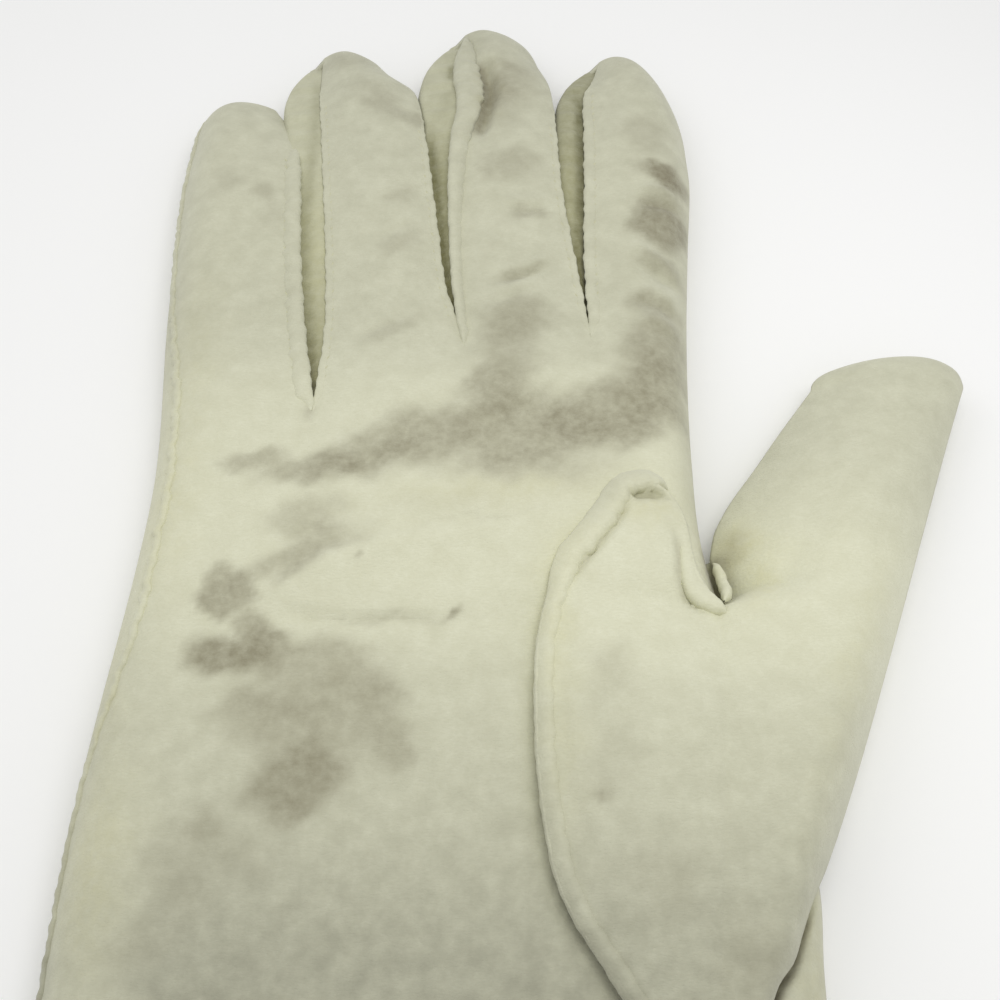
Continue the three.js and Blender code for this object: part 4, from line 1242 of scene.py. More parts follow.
    def hole(self, inset: float) -> Array:
        """Outline of the thumb's hole in the palm side, open at the hand's folded edge.

        Args:
            inset: Distance inside the thumb's own edge, in mm.

        Returns:
            The outline's corners in plan.
        """
        low = self.bottom_y + 5.0
        outside_x = self.hand.fold_edge.rows[0][1] + self.hole_clear
        seam_y = np.arange(low, -4.0, 2.0)
        seam = np.stack([self.seam(seam_y) + inset, seam_y], -1)
        tip_x, tip_y = self.tongue_tip
        open_y = self.closes_y - 0.8
        top_y = self.arch_top[1] - 1.2 - inset
        right = [
            (30.6 + 0.4 * inset, top_y), (self.tongue_top_x - 3, top_y), (self.tongue_top_x - inset, -6.0),
            (self.tongue_top_x + 1.7 - inset, -14.0), (tip_x, tip_y - inset),
            (float(self.hand.fold_edge(self.closes_y)) + 0.5, open_y), (outside_x, open_y),
            (outside_x, self.lap_ends_y + 1.0)]
        lap_y, under = np.array([(self.lap_ends_y + 1.0, 0.0), *self.hole_lap, (low, 1.0)]).T
        lap = np.stack([self.fold(lap_y) - inset - under, lap_y], -1)
        return np.concatenate([seam, np.array(right), lap])

    def _on_palm(self, x: Array, y: Array) -> Array:
        """Height of the thumb's cloth where it lies on the palm."""
        return self.hand.palm_height(x, y) + SEAM_GAP + self.lies_clear + CLOTH

    def lobe_left(self, y: Array) -> Array:
        """Left edge of the lobe: the seam's line, then a quarter ellipse to the arch's top.

        Args:
            y: Places along the hand in mm.

        Returns:
            The edge's x at each place.
        """
        start = self.seam.rows[-1][0]
        top_x, top_y = self.arch_top
        arch = rounded(self.seam(start), top_x, share(y, start, top_y))
        return np.where(y < start, self.seam(y), arch)

    def lobe_right(self, y: Array) -> Array:
        """Right end of the lobe: a line up from the bottom point, then the tongue's left side.

        Args:
            y: Places along the hand in mm.

        Returns:
            The edge's x at each place.
        """
        tip_x, tip_y = self.tongue_tip
        top_x, top_y = self.arch_top
        below = mix(tip_x, self.bottom_x, (tip_y - y) / (tip_y - self.bottom_y))
        t = share(y, tip_y, top_y)
        bow = self.tongue_bow * np.sin(math.pi * np.minimum(1.0, t * 1.15)) * (1.0 - t)
        return np.where(y < tip_y, below, mix(tip_x, top_x, t**3) - bow)

    def shared_height(self, y: Array) -> Array:
        """Height of the line between lobe and tube: the seam's level, rising to the thumb's full height.

        Args:
            y: Places along the hand in mm.

        Returns:
            Height in mm at each place.
        """
        rise = smooth((self.tongue_tip[1] - y) / self.rise_run)
        end = smooth((y - self.bottom_y) / self.foot_run)
        low = self._on_palm(self.lobe_right(y), y) + self.tongue_clear * end
        return mix(low, self.heights(y), rise * end)

    def lobe(self, u: Array, y: Array) -> Array:
        """Points of the lobe: from the seam to the shared line by an S-curve, crowned by a parabola.

        Args:
            u: Shares across the lobe.
            y: Places along the hand in mm, of the same shape as u.

        Returns:
            Points in mm, with a last axis of three.
        """
        left, right = self.lobe_left(y), self.lobe_right(y)
        x = mix(left, right, u)
        beside = y >= self.tongue_tip[1]
        low = self._on_palm(left, y)
        high = np.where(beside, self._on_palm(right, y) + self.tongue_clear, self.shared_height(y))
        arch = smooth((self.arch_top[1] - y) / self.crown_run[0])
        arch = arch * smooth((y - self.bottom_y) / self.crown_run[1])
        crown = mix(*self.crown, self._near_tongue(y)) * arch * 4.0 * u * (1.0 - u)
        held = np.clip(5.0 * u, 0.0, 1.0) * smooth((self.arch_top[1] - y) / 2.5)
        held = held * np.where(beside, np.clip(6.0 * (1.0 - u), 0.0, 1.0), 1.0)
        return np.stack([x, y, mix(low, high, smooth(u)) + crown + self.relief.at(x, y) * held], -1)

    def _near_tongue(self, y: Array) -> Array:
        """Share that rises by an S-curve from 0 to 1 over a run below the tongue's tip."""
        return smooth((y - self.tongue_tip[1] + self.tongue_run) / self.tongue_run)

    def lobe_height(self, x: Array, y: Array) -> Array:
        """Height of the lobe at places in plan."""
        return self.lobe(share(x, self.lobe_left(y), self.lobe_right(y)), y)[..., 2]

    def tube_left(self, y: Array) -> Array:
        """Inner edge of the tube: the shared line, a step round the tongue's tip, then its own line.

        Args:
            y: Places along the hand in mm.

        Returns:
            The edge's x at each place.
        """
        tip_x, tip_y = self.tongue_tip
        close_x = float(self.hand.fold_edge(self.closes_y)) + 0.7
        start_y, start_x = self.inner.rows[0]
        end_y, end_x = self.inner.rows[-1]
        step = mix(tip_x + 0.3, close_x, (y - tip_y) / (self.closes_y - tip_y))
        bend = mix(close_x, start_x, (y - self.closes_y) / (start_y - self.closes_y))
        tip = rounded(end_x, self.tip[0], share(y, end_y, self.tip[1]))
        return np.select([y < tip_y, y < self.closes_y, y < start_y, y < end_y],
                         [self.lobe_right(y), step, bend, self.inner(y)], tip)

    def tube_right(self, y: Array) -> Array:
        """Outer folded edge of the thumb, rounded to the tip by a cubic superellipse.

        Args:
            y: Places along the hand in mm.

        Returns:
            The edge's x at each place.
        """
        end_y, end_x = self.fold.rows[-1]
        tip = rounded(end_x, self.tip[0], share(y, end_y, self.tip[1]), 3.0)
        return np.where(y < end_y, self.fold(y), tip)

    def _left_height(self, y: Array) -> Array:
        """Height of the tube's inner edge: the shared line's, then down to the edge level round the tongue.

        Args:
            y: Places along the hand in mm.

        Returns:
            Height in mm at each place.
        """
        tip_x, tip_y = self.tongue_tip
        start = self._on_palm(np.array(tip_x), np.array(tip_y)) + self.tongue_clear
        down = mix(start, EDGE_LEVEL, share(y, tip_y, self.closes_y))
        return np.where(y <= tip_y, self.shared_height(y), down)

    def _right_height(self, y: Array) -> Array:
        """Height of the outer edge: on the palm below the lap's end, and beside the hand above it.

        Args:
            y: Places along the hand in mm.

        Returns:
            Height in mm at each place.
        """
        lift = self.lap_lift * smooth((self.lap_ends_y - self.lap_run / 2 - y) / (1.5 * self.lap_run))
        lift = lift * smooth((y - self.bottom_y) / self.lap_run)
        beside = smooth((y - self.lap_ends_y + self.lap_run / 2) / self.lap_run)
        return mix(self._on_palm(self.fold(y), y) + lift, EDGE_LEVEL + 1.0, beside)

    def _closing(self, y: Array) -> Array:
        """Share of the full height near the tip: root of 1 less the sixth power of the way there."""
        return np.sqrt(1.0 - share(y, self.closing_from, self.tip[1]) ** 6)

    def tube_top(self, u: Array, y: Array) -> Array:
        """Points of the tube's upper face: a plateau less a power of the distance to each edge.

        Args:
            u: Shares across the tube.
            y: Places along the hand in mm, of the same shape as u.

        Returns:
            Points in mm, with a last axis of three.
        """
        x = mix(self.tube_left(y), self.tube_right(y), u)
        edge = EDGE_LEVEL + self.edge_lift
        closing = self._closing(y)
        top = mix(edge, self.heights(y), closing)
        left = mix(edge, self._left_height(y), closing)
        right = mix(edge, self._right_height(y), closing)
        plateau = mix(np.maximum(left, right), top, smooth((y - self.bottom_y) / self.plateau_run))
        below = y < self.tongue_tip[1]
        fall = (plateau - left) * (1.0 - u) ** mix(2.0, 4.0, self._near_tongue(y))
        fall = fall + (plateau - right) * u**6.0
        held = np.clip(5.0 * (1.0 - u), 0.0, 1.0) * np.where(below, 1.0, np.clip(5.0 * u, 0.0, 1.0))
        held = held * smooth((self.tip[1] - y) / self.held_tip)
        return np.stack([x, y, plateau - fall + self.relief.at(x, y) * held], -1)

    def tube_under(self, u: Array, y: Array) -> Array:
        """Points of the tube's underside: flat on the surface, and turned up to both edges by a power.

        Args:
            u: Shares across the tube.
            y: Places along the hand in mm, of the same shape as u.

        Returns:
            Points in mm, with a last axis of three.
        """
        left_x = np.where(y < self.closes_y, self.hand.fold_edge(y) + 0.7, self.tube_left(y))
        x = mix(left_x, self.tube_right(y), u)
        edge = EDGE_LEVEL + self.edge_lift
        closing = self._closing(y)
        left = mix(edge, EDGE_LEVEL, closing)
        right = mix(edge, self._right_height(y), closing)
        bottom = mix(edge, mix(0.0, EDGE_LEVEL, smooth((-40.0 - y) / 17.0)), closing)
        z = bottom
        for height, across in ((left, u), (right, 1.0 - u)):
            turned_up = np.clip(1.0 - across / self.under_reach, 0.0, 1.0) ** self.under_power
            z = z + (height - bottom) * turned_up
        return np.stack([x, y, z], -1)

    def _rows(self, marks: tuple[float, ...]) -> Array:
        """Rows from the first mark to the last that pass through each mark, about one pitch apart.

        Args:
            marks: Places that rows have to pass through, in order.

        Returns:
            Places along the hand in mm.
        """
        spans = [np.linspace(a, b, max(2, int(math.ceil((b - a) / self.pitch)) + 1))[:-1]
                 for a, b in zip(marks[:-1], marks[1:])]
        return np.concatenate([*spans, [marks[-1]]])

    def build(self) -> bpy.types.Object:
        """Makes the thumb's cloth.

        Returns:
            The thumb, with its cloth thickness.
        """
        tip_y = self.tongue_tip[1]
        arch_y = self.arch_top[1] - self.arch_rows
        round_y = self.tip[1] - self.tip_rows
        shared = self._rows((self.bottom_y, self.lap_ends_y, tip_y))
        arch_end = self.arch_top[1] - self.arch_rows * (1.0 - np.sin(np.linspace(0.1, 1.0, 14) * math.pi / 2))
        lobe_y = np.concatenate([shared[:-1], self._rows((tip_y, -11.0, arch_y))[:-1], arch_end])
        tip_end = self.tip[1] - self.tip_rows * (1.0 - np.sin(np.linspace(0.0, 1.0, 22) * math.pi / 2))
        tube_rows = self._rows((tip_y, self.closes_y, self.inner.rows[0][0], round_y))
        tube_y = np.concatenate([shared[:-1], tube_rows[:-1], tip_end])
        sheet = Sheet()
        u, y = np.meshgrid(spread_columns(self.lobe_columns, 0.45), lobe_y)
        sheet.add(self.lobe(u, y))
        tube_u = spread_columns(self.tube_columns, 0.55)
        u, y = np.meshgrid(tube_u, tube_y)
        sheet.add(self.tube_top(u, y))
        u, y = np.meshgrid(tube_u, tube_y[tube_y >= self.lap_ends_y])
        sheet.add(self.tube_under(u, y), False)
        sheet.add(self._web())
        points, cells = sheet.welded()
        piece = make_piece("thumb_cloth", points, cells, wear_and_shade(points, THUMB_HAZE_AND_SHADE, 1.0, THUMB_SHADE_LINES))
        give_wall(piece, CLOTH)
        return piece

    def _web(self) -> Array:
        """The thumb's cloth in the crotch: a short strip that sags by a sine between the hand and the tube.

        Returns:
            Points shaped rows by columns by three.
        """
        u, y = np.meshgrid(np.linspace(0.0, 1.0, 6), np.linspace(self.tongue_tip[1] + 0.3, self.web_top, 16))
        x = mix(self.hand.fold_edge(y) - 0.6, self.tube_left(y) + 0.6, u)
        return np.stack([x, y, self.web_level - self.web_sag * np.sin(math.pi * u)], -1)

    def seam_route(self) -> Route:
        """The raised seam round the lobe, from the bottom point up and over the arch, as wide as its welt.

        Returns:
            The route.
        """
        y = np.arange(self.bottom_y + 1.5, -20.0, 0.5)
        left = self.lobe_left(y)
        width = np.maximum(self.lobe_right(y) - left, 0.5)
        outer = np.stack([left, y, self.hand.palm_height(left, y) + 0.6], -1)
        inner = self.lobe(np.clip(self.seam_width / width, 0.0, 0.5), y)
        inner[:, 2] -= 0.42 * smooth((-22.0 - y) / 8.0)
        pairs = dense_pairs(self.arch_welt, 0.5)
        x, y = pairs[1][:, 0], pairs[1][:, 1]
        pairs[1][:, 2] = np.maximum(pairs[1][:, 2] - 0.3, self.lobe_height(x, y) + 0.3)
        return Route.between(np.concatenate([outer, pairs[0]]), np.concatenate([inner, pairs[1]]))


def dense_pairs(pairs: tuple[tuple[float, ...], ...], pitch: float) -> tuple[Array, Array]:
    """Two lines side by side, smoothed through pairs of points.

    Args:
        pairs: For each pair, the place on the outer line and then on the inner line.
        pitch: Distance between the new points in mm.

    Returns:
        Points on the outer line and on the inner line.
    """
    rows = np.asarray(pairs, float)
    run = run_along((rows[:, :3] + rows[:, 3:]) / 2)
    at = np.linspace(0.0, run[-1], int(run[-1] / pitch) + 2)
    lines = [SmoothLine(tuple(zip(run, rows[:, k])))(at) for k in range(6)]
    return np.stack(lines[:3], -1), np.stack(lines[3:], -1)


def resampled(place: Array, beside: Array, pitch: float) -> Route:
    """A route whose points lie evenly along the line.

    Args:
        place: Points along the line in mm.
        beside: For each, a point on the cloth at its inner side.
        pitch: Distance between the new points in mm.

    Returns:
        The route.
    """
    run = run_along(place)
    at = np.linspace(0.0, run[-1], int(run[-1] / pitch) + 2)
    even = [np.stack([np.interp(at, run, line[:, k]) for k in range(3)], -1) for line in (place, beside)]
    return Route.on(*even)


@dataclass
class Trank:
    """The hand piece: the palm side and the back of all four strips in one cloth, with the thumb's hole."""

    hand: Hand
    thumb: Thumb
    columns: int = 35
    back_columns: int = 12
    pitch: float = 0.85
    cuff_pitch: float = 2.4
    cuff_ends: float = -77.0
    tip_zone: float = 11.0
    tip_rows: int = 22
    row_clear: float = 0.25
    slit_stations: int = 240
    side_stations: int = 420
    route_pitch: float = 0.45
    side_pitch: float = 0.5
    seam_hollow: tuple[float, float] = (0.35, 0.95)
    lap_hollow: float = 2.3
    lighter_beyond: float = 0.5
    lighter_outside: float = 0.42
    side_inset: SmoothLine = SmoothLine((
        (-121, 0.5), (-60, 0.8), (-44, 1.8), (-32, 4.0), (-22, 5.3), (-10, 5.2), (0, 5.0), (9.4, 4.4),
        (19.3, 4.2), (28, 3.2), (40, 1.6), (60, 0.7), (82, 0.5)))

    def _rows(self, strip: Strip) -> Array:
        """Rows up a strip: wide apart in the cuff, closer in the hand, and closest where the tip rounds.

        Args:
            strip: The finger's strip.

        Returns:
            Places along the hand in mm.
        """
        tip_y = strip.finger.tip[1]
        kept = [slit.crotch[1] for slit in self.hand.slits]
        kept += [strip.left.join_y, strip.right.join_y, tip_y, HEM_Y, HEM_Y + HEM_DEPTH]
        cuff = np.arange(HEM_Y, self.cuff_ends, self.cuff_pitch)
        body = np.arange(self.cuff_ends, FINGER_BASE_Y, self.pitch)
        finger = np.arange(FINGER_BASE_Y, tip_y - self.tip_zone, self.pitch)
        end = tip_y - self.tip_zone * (1.0 - np.sin(np.linspace(0.0, 1.0, self.tip_rows) * math.pi / 2))
        rows = np.concatenate([cuff, body, finger, end])
        clear = np.min(np.abs(rows[:, None] - np.array(kept)[None, :]), axis=1) > self.row_clear
        return np.unique(np.concatenate([rows[clear], kept]))

    def build(self) -> bpy.types.Object:
        """Makes the hand piece's cloth.

        Returns:
            The hand piece, with its cloth thickness.
        """
        sheet = Sheet()
        hole = self.thumb.hole(SEAM_LAP)
        for strip in self.hand.strips:
            rows = self._rows(strip)
            u, y = np.meshgrid(spread_columns(self.columns), rows)
            palm = strip.palm_side(u, y)
            palm[..., 2] -= self._seam_hollow(palm[..., 0], palm[..., 1])
            middle = (palm[:-1, :-1] + palm[1:, 1:]) / 2
            solid = ~inside_outline(middle[..., 0], middle[..., 1], hole)
            sheet.add(palm, keep=solid)
            u, y = np.meshgrid(spread_columns(self.back_columns, 0.6), rows)
            sheet.add(strip.back_side(u, y), False)
        points, cells = sheet.welded()
        palm_side = smooth((points[:, 2] - 4.0) / 3.0)
        marks_and_shade = wear_and_shade(points, PALM_HAZE_AND_SHADE, palm_side, PALM_SHADE_LINES)
        # Less greying and painted shade beyond the thumb at the cuff and along the hand's outer side, so both
        # read lighter.
        beyond_thumb = smooth((points[:, 0] - 43.0) / 4.0) * smooth((-56.0 - points[:, 1]) / 6.0)
        outer_side = smooth((-28.0 - points[:, 0]) / 10.0) * smooth((-40.0 - points[:, 1]) / 14.0)
        haze_and_shade_kept = (1.0 - self.lighter_beyond * beyond_thumb) * (1.0 - self.lighter_outside * outer_side)
        marks_and_shade["haze_and_shade"] = marks_and_shade["haze_and_shade"] * haze_and_shade_kept
        piece = make_piece("trank_cloth", points, cells, marks_and_shade)
        give_wall(piece, CLOTH)
        return piece

    def _seam_hollow(self, x: Array, y: Array) -> Array:
        """Depth of the furrows in the palm: exp of minus the squared distance from the thumb's seam and fold.

        Args:
            x: Places across the hand in mm.
            y: Places along the hand in mm.

        Returns:
            Depth in mm at each place.
        """
        thumb = self.thumb
        reach = smooth((y - thumb.bottom_y) / 10.0) * smooth((thumb.arch_top[1] + 2.0 - y) / 6.0)
        away = thumb.lobe_left(np.clip(y, thumb.bottom_y, thumb.arch_top[1])) - x
        deep = mix(*self.seam_hollow, smooth((-20.0 - y) / 50.0))
        left = reach * deep * np.exp(-((away / np.where(away > 0.0, 1.2, 3.0)) ** 2))
        lapped = smooth((thumb.lap_ends_y - 2.0 - y) / 4.0) * smooth((y - thumb.bottom_y) / 6.0)
        outside = x - thumb.fold(np.clip(y, thumb.bottom_y, thumb.lap_ends_y))
        spread = np.where(outside > 0.0, 0.7, 3.0)
        return left + self.lap_hollow * lapped * np.exp(-((outside / spread) ** 2))

    def slit_route(self, strip: Strip, side: Side, stop: float) -> Route:
        """The palm side's edge along a slit, from the crotch to near where it joins the back.

        Args:
            strip: The finger's strip.
            side: The side of the finger.
            stop: Place along the hand where the seam's raised edge has died out.

        Returns:
            The route, whose inner side is towards the finger.
        """
        edge = strip.left if side is Side.LEFT else strip.right
        y = np.linspace(edge.slit.crotch[1] - 1.5, stop, self.slit_stations)
        width = strip.right.palm(y) - strip.left.palm(y)
        step = 2.0 / np.maximum(width, 4.0)
        u = np.full_like(y, side.value)
        inner = u + np.where(u > 0.5, -step, step)
        return resampled(strip.palm_side(u, y), strip.palm_side(inner, y), self.route_pitch)

    def ulnar_route(self) -> Route:
        """The side seam's line, a little inside the hand's outer edge, with its inner side outwards.

        Returns:
            The route.
        """
        strip = self.hand.strips[0]
        y = np.linspace(HEM_Y + 1.0, 88.0, self.side_stations)
        width = strip.right.palm(y) - strip.left.palm(y)
        u = self.side_inset(y) / width
        beside = strip.palm_side(np.maximum(u - 0.6 / width, 0.0), y)
        return resampled(strip.palm_side(u, y), beside, self.side_pitch)


@dataclass
class Seams:
    """All raised seam edges with their stitches."""

    trank: Trank
    thumb: Thumb
    stitches: Stitches = field(default_factory=Stitches)
    slit_welts: tuple[tuple[int, Side, float, float, float, float], ...] = (
        (0, Side.RIGHT, 2.8, 0.85, 12.0, 80.0), (1, Side.LEFT, 1.3, 0.28, 20.0, 96.0),
        (1, Side.RIGHT, 1.2, 0.26, 20.0, 88.0), (2, Side.RIGHT, 1.2, 0.28, 20.0, 90.0),
        (3, Side.LEFT, 2.0, 0.48, 20.0, 99.0))
    cord: tuple[tuple[float, ...], ...] = (
        (5.2, 112.2, 6.6, 112.6), (4.5, 109.0, 6.6, 109.2), (3.6, 105.0, 6.9, 105.0),
        (3.1, 100.6, 7.4, 100.6), (3.3, 95.4, 8.2, 95.4), (3.9, 90.6, 8.5, 90.8), (4.0, 86.0, 8.0, 86.4),
        (3.5, 82.0, 7.1, 82.3),
        (3.0, 78.2, 6.3, 78.4), (2.7, 69.0, 5.6, 69.4), (2.8, 61.4, 5.4, 61.4), (3.2, 51.7, 5.4, 51.6),
        (3.7, 43.5, 5.8, 43.3), (4.6, 35.7, 6.5, 35.5), (5.4, 30.3, 7.1, 30.1), (6.4, 27.4, 7.3, 27.6))
    cord_height: float = 1.3
    cord_pitch: float = 0.45
    cord_sinks: float = 0.62
    cord_stands: float = 0.55
    cord_even: int = 9
    cord_beads: int = 24
    run_in: float = 5.0
    bead_lift: float = -0.04
    soil_and_shade_share: float = 0.6
    side_welt: tuple[float, float, float, float] = (1.8, 0.5, 8.0, 0.32)

    def build(self) -> tuple[list[bpy.types.Object], bpy.types.Object]:
        """Makes the welts as one piece for each seam, and all the stitches as one piece.

        Returns:
            The welts and the stitches.
        """
        welts, beads = [], []
        for number, side, width, height, taper, stop in self.slit_welts:
            strip = self.trank.hand.strips[number]
            route = self.trank.slit_route(strip, side, stop)
            name = f"welt_{strip.finger.name}_{side.name.lower()}"
            welts.append(self._piece(name, Welt(route, width, height, (self.run_in, taper)), PALM_HAZE_AND_SHADE))
            beads.append(self.stitches.beads(route, width * 0.92, self.bead_lift, 7.0))
        cord = Welt(self._cord_route(), 1.0, self.cord_height, (self.run_in, self.run_in), 0.08)
        welts.append(self._piece("welt_middle_left", cord, PALM_HAZE_AND_SHADE))
        beads.append(self.stitches.beads(cord.route, 2.2, self.bead_lift, 9.0)[:self.cord_beads])
        thumb = self.thumb
        quirk = Route.between(*dense_pairs(thumb.quirk_welt, thumb.route_pitch))
        tab = Route.between(*dense_pairs(thumb.tab_welt, thumb.route_pitch))
        for name, welt in (
                ("welt_thumb", Welt(thumb.seam_route(), 1.0, 1.15, (6.0, 4.0), 0.08, LIP_PROFILE)),
                ("welt_thumb_quirk", Welt(quirk, 1.0, 1.35, (10.0, 2.5), 0.06, ROLL_PROFILE)),
                ("welt_thumb_crotch", Welt(tab, 1.0, 1.0, (2.5, 2.0), 0.1, ROLL_PROFILE))):
            welts.append(self._piece(name, welt, THUMB_HAZE_AND_SHADE))
        width, height, taper, waver = self.side_welt
        side = Welt(self.trank.ulnar_route(), width, height, (taper, taper), waver)
        welts.append(self._piece("welt_side_seam", side, PALM_HAZE_AND_SHADE))
        sheet = Sheet()
        for bead in np.concatenate(beads):
            sheet.add(bead)
        points, cells = sheet.welded()
        return welts, make_piece("seam_stitches", points, cells)

    def _cord_route(self) -> Route:
        """The heavy rolled edge up the middle finger's side, between two lines in plan at the palm's level.

        The level is evened by a running mean. The edge stands up above the cloth near the tip and sinks into
        it towards the crotch.

        Returns:
            The route, as wide as its welt.
        """
        rows = tuple((*row[:2], 0.0, *row[2:], 0.0) for row in self.cord)
        outer, inner = dense_pairs(rows, self.cord_pitch)
        level = self.trank.hand.palm_height(np.maximum(inner[:, 0], 7.0), inner[:, 1])
        window = np.full(self.cord_even, 1.0 / self.cord_even)
        level = np.convolve(np.pad(level, self.cord_even // 2, "edge"), window, "valid")
        sunk = self.cord_sinks * smooth((84.0 - inner[:, 1]) / 34.0)
        proud = self.cord_stands * smooth((inner[:, 1] - 74.0) / 6.0) * smooth((110.0 - inner[:, 1]) / 6.0)
        outer[:, 2] = level - 0.35 - 0.7 * sunk
        inner[:, 2] = level + 0.05 - sunk + proud
        return Route.between(outer, inner)

    def _piece(self, name: str, welt: Welt, haze_and_shade: SmoothLine) -> bpy.types.Object:
        """Makes one welt as a closed band.

        Args:
            name: The piece's name.
            welt: Its form.
            haze_and_shade: Greying of the cloth that it belongs to, part dinginess and part painted shade.

        Returns:
            The welt.
        """
        sheet = Sheet()
        sheet.add(welt.grid())
        points, cells = sheet.welded()
        marks_and_shade = wear_and_shade(points, haze_and_shade)
        # A welt takes less of the stained patches and painted shade than the cloth beside it.
        marks_and_shade["soil"] = self.soil_and_shade_share * marks_and_shade["soil"]
        return make_piece(name, points, cells, marks_and_shade)


@dataclass
class Fourchette:
    """A forked side wall between two fingers: down one finger's side from its tip, and up the other's.

    The leg on the right-hand finger shows in the slit. Its cloth rises steeply from the back and then lies
    nearly flat up to the palm side's edge, with a furrow along it, and stands upright only near the crotch.
    The other leg is hidden under its finger's edge.
    """

    hand: Hand
    number: int
    form: SmoothLine
    furrow: Crease
    dirt_and_shade: SmoothLine
    darker_lines: tuple[Crease, ...] = ()
    run_in: float = 6.0
    reach: float = 0.975
    stations: int = 200
    levels: int = 25
    tuck: float = 1.5
    pillow_from: float = -4.0
    pillow_run: float = 5.0
    shown_under: float = 0.2
    hidden_under: float = 0.7
    tip_sink: float = 0.45
    foot_tuck: float = 1.4
    pucker: float = 0.14
    pucker_waves: Waves = ((5.3, 0.7), (3.1, 0.5), (9.0, 0.6))
    yellow_tint: float = 0.75
    thinner: float = 0.2

    def _section(self, strip: Strip, edge: StripEdge, y: Array) -> Array:
        """The wall at rows up one finger, from over the back's edge to under the palm side's.

        Between the two edges its height follows a straight line near the crotch, and the leg's form less half
        the furrow above it. It puckers by a ripple that is widest half-way up.

        Args:
            strip: The finger's strip.
            edge: Its side on this slit.
            y: Places along the hand in mm.

        Returns:
            Points shaped rows by levels by three.
        """
        crotch_y = edge.slit.crotch[1]
        start = np.clip((y - crotch_y) / self.run_in, 0.0, 1.0)
        sunk = self.tip_sink * smooth((y - edge.join_y + 6.0) / 4.0)
        shown = edge is strip.left
        under = self.shown_under if shown else self.hidden_under
        high = (strip.palm_edge(edge, y) - 0.4 * (1.0 - start) - under - sunk)[:, None]
        low = np.minimum((strip.back_edge(edge, y) + CLOTH * 0.6)[:, None], high - 0.05)
        t = np.linspace(0.0, 1.0, self.levels)[None, :]
        pillow = smooth((y - crotch_y - self.pillow_from) / self.pillow_run)[:, None] * float(shown)
        pucker = self.pucker * ripple(y, self.pucker_waves)[:, None] * np.sin(math.pi * t)
        if shown:
            tucked = self.foot_tuck * (start * smooth((crotch_y + 44.0 - y) / 22.0))[:, None] * (1.0 - t)
        else:
            tucked = self.tuck * smooth((y - crotch_y) / 8.0)[:, None] * 4.0 * t * (1.0 - t)
            tucked = tucked + 0.6 * start[:, None] * t
        x = mix(edge.back(y)[:, None], edge.palm(y)[:, None], t) - tucked + pucker * (1.0 - pillow)
        level = np.broadcast_to(y[:, None], x.shape)
        hollow = 0.5 * self.furrow.at(x, level) * np.sin(math.pi * t) ** 0.5 * pillow
        z = mix(low, high, mix(t, self.form(t), pillow)) + pucker * pillow - hollow
        return np.stack([x, level, z], -1)

    def build(self) -> bpy.types.Object:
        """Makes the forked wall's cloth.

        Returns:
            The fourchette, with its cloth thickness.
        """
        slit = self.hand.slits[self.number]
        left, right = self.hand.strips[self.number], self.hand.strips[self.number + 1]
        t = np.linspace(0.0, self.reach, self.stations)
        legs = []
        for strip, edge in ((left, left.right), (right, right.left)):
            legs.append(self._section(strip, edge, mix(slit.crotch[1], edge.join_y, t)))
        sheet = Sheet()
        sheet.add(np.concatenate([legs[0][:0:-1], legs[1]]))
        points, cells = sheet.welded()
        above = points[:, 1] - slit.crotch[1]
        marks_and_shade = wear_and_shade(points, PALM_HAZE_AND_SHADE)
        # A yellow cast that grows towards the crotch: painted shade, the colour of light bounced about inside
        # the slit.
        marks_and_shade["warm"] = self.yellow_tint * smooth((62.0 - above) / 30.0)
        # Darker towards the crotch and along the furrow: painted shade of the narrow slit, with some soiling;
        # the darker lines add to it.
        clean = (1.0 - self.dirt_and_shade(above)) * (1.0 - 0.6 * self.furrow.at(points[:, 0], points[:, 1]))
        for darker_line in self.darker_lines:
            clean = clean * (1.0 - darker_line.at(points[:, 0], points[:, 1]))
        marks_and_shade["soil"] = 1.0 - clean
        piece = make_piece(f"fourchette_{slit.name}_cloth", points, cells, marks_and_shade)
        give_wall(piece, CLOTH - self.thinner)
        return piece


# Forms of a shown leg, as its share of the height at shares of the way across: one slopes up to the palm
# side's edge, the other is fullest in the middle.
SLOPED = SmoothLine((
    (0, 0.0), (0.06, 0.62), (0.14, 0.86), (0.30, 0.92), (0.50, 0.95), (0.75, 0.98), (1, 1.0)))
PILLOWED = SmoothLine((
    (0, 0.0), (0.06, 0.62), (0.14, 0.87), (0.32, 0.95), (0.60, 0.97), (0.80, 0.95), (1, 0.88)))

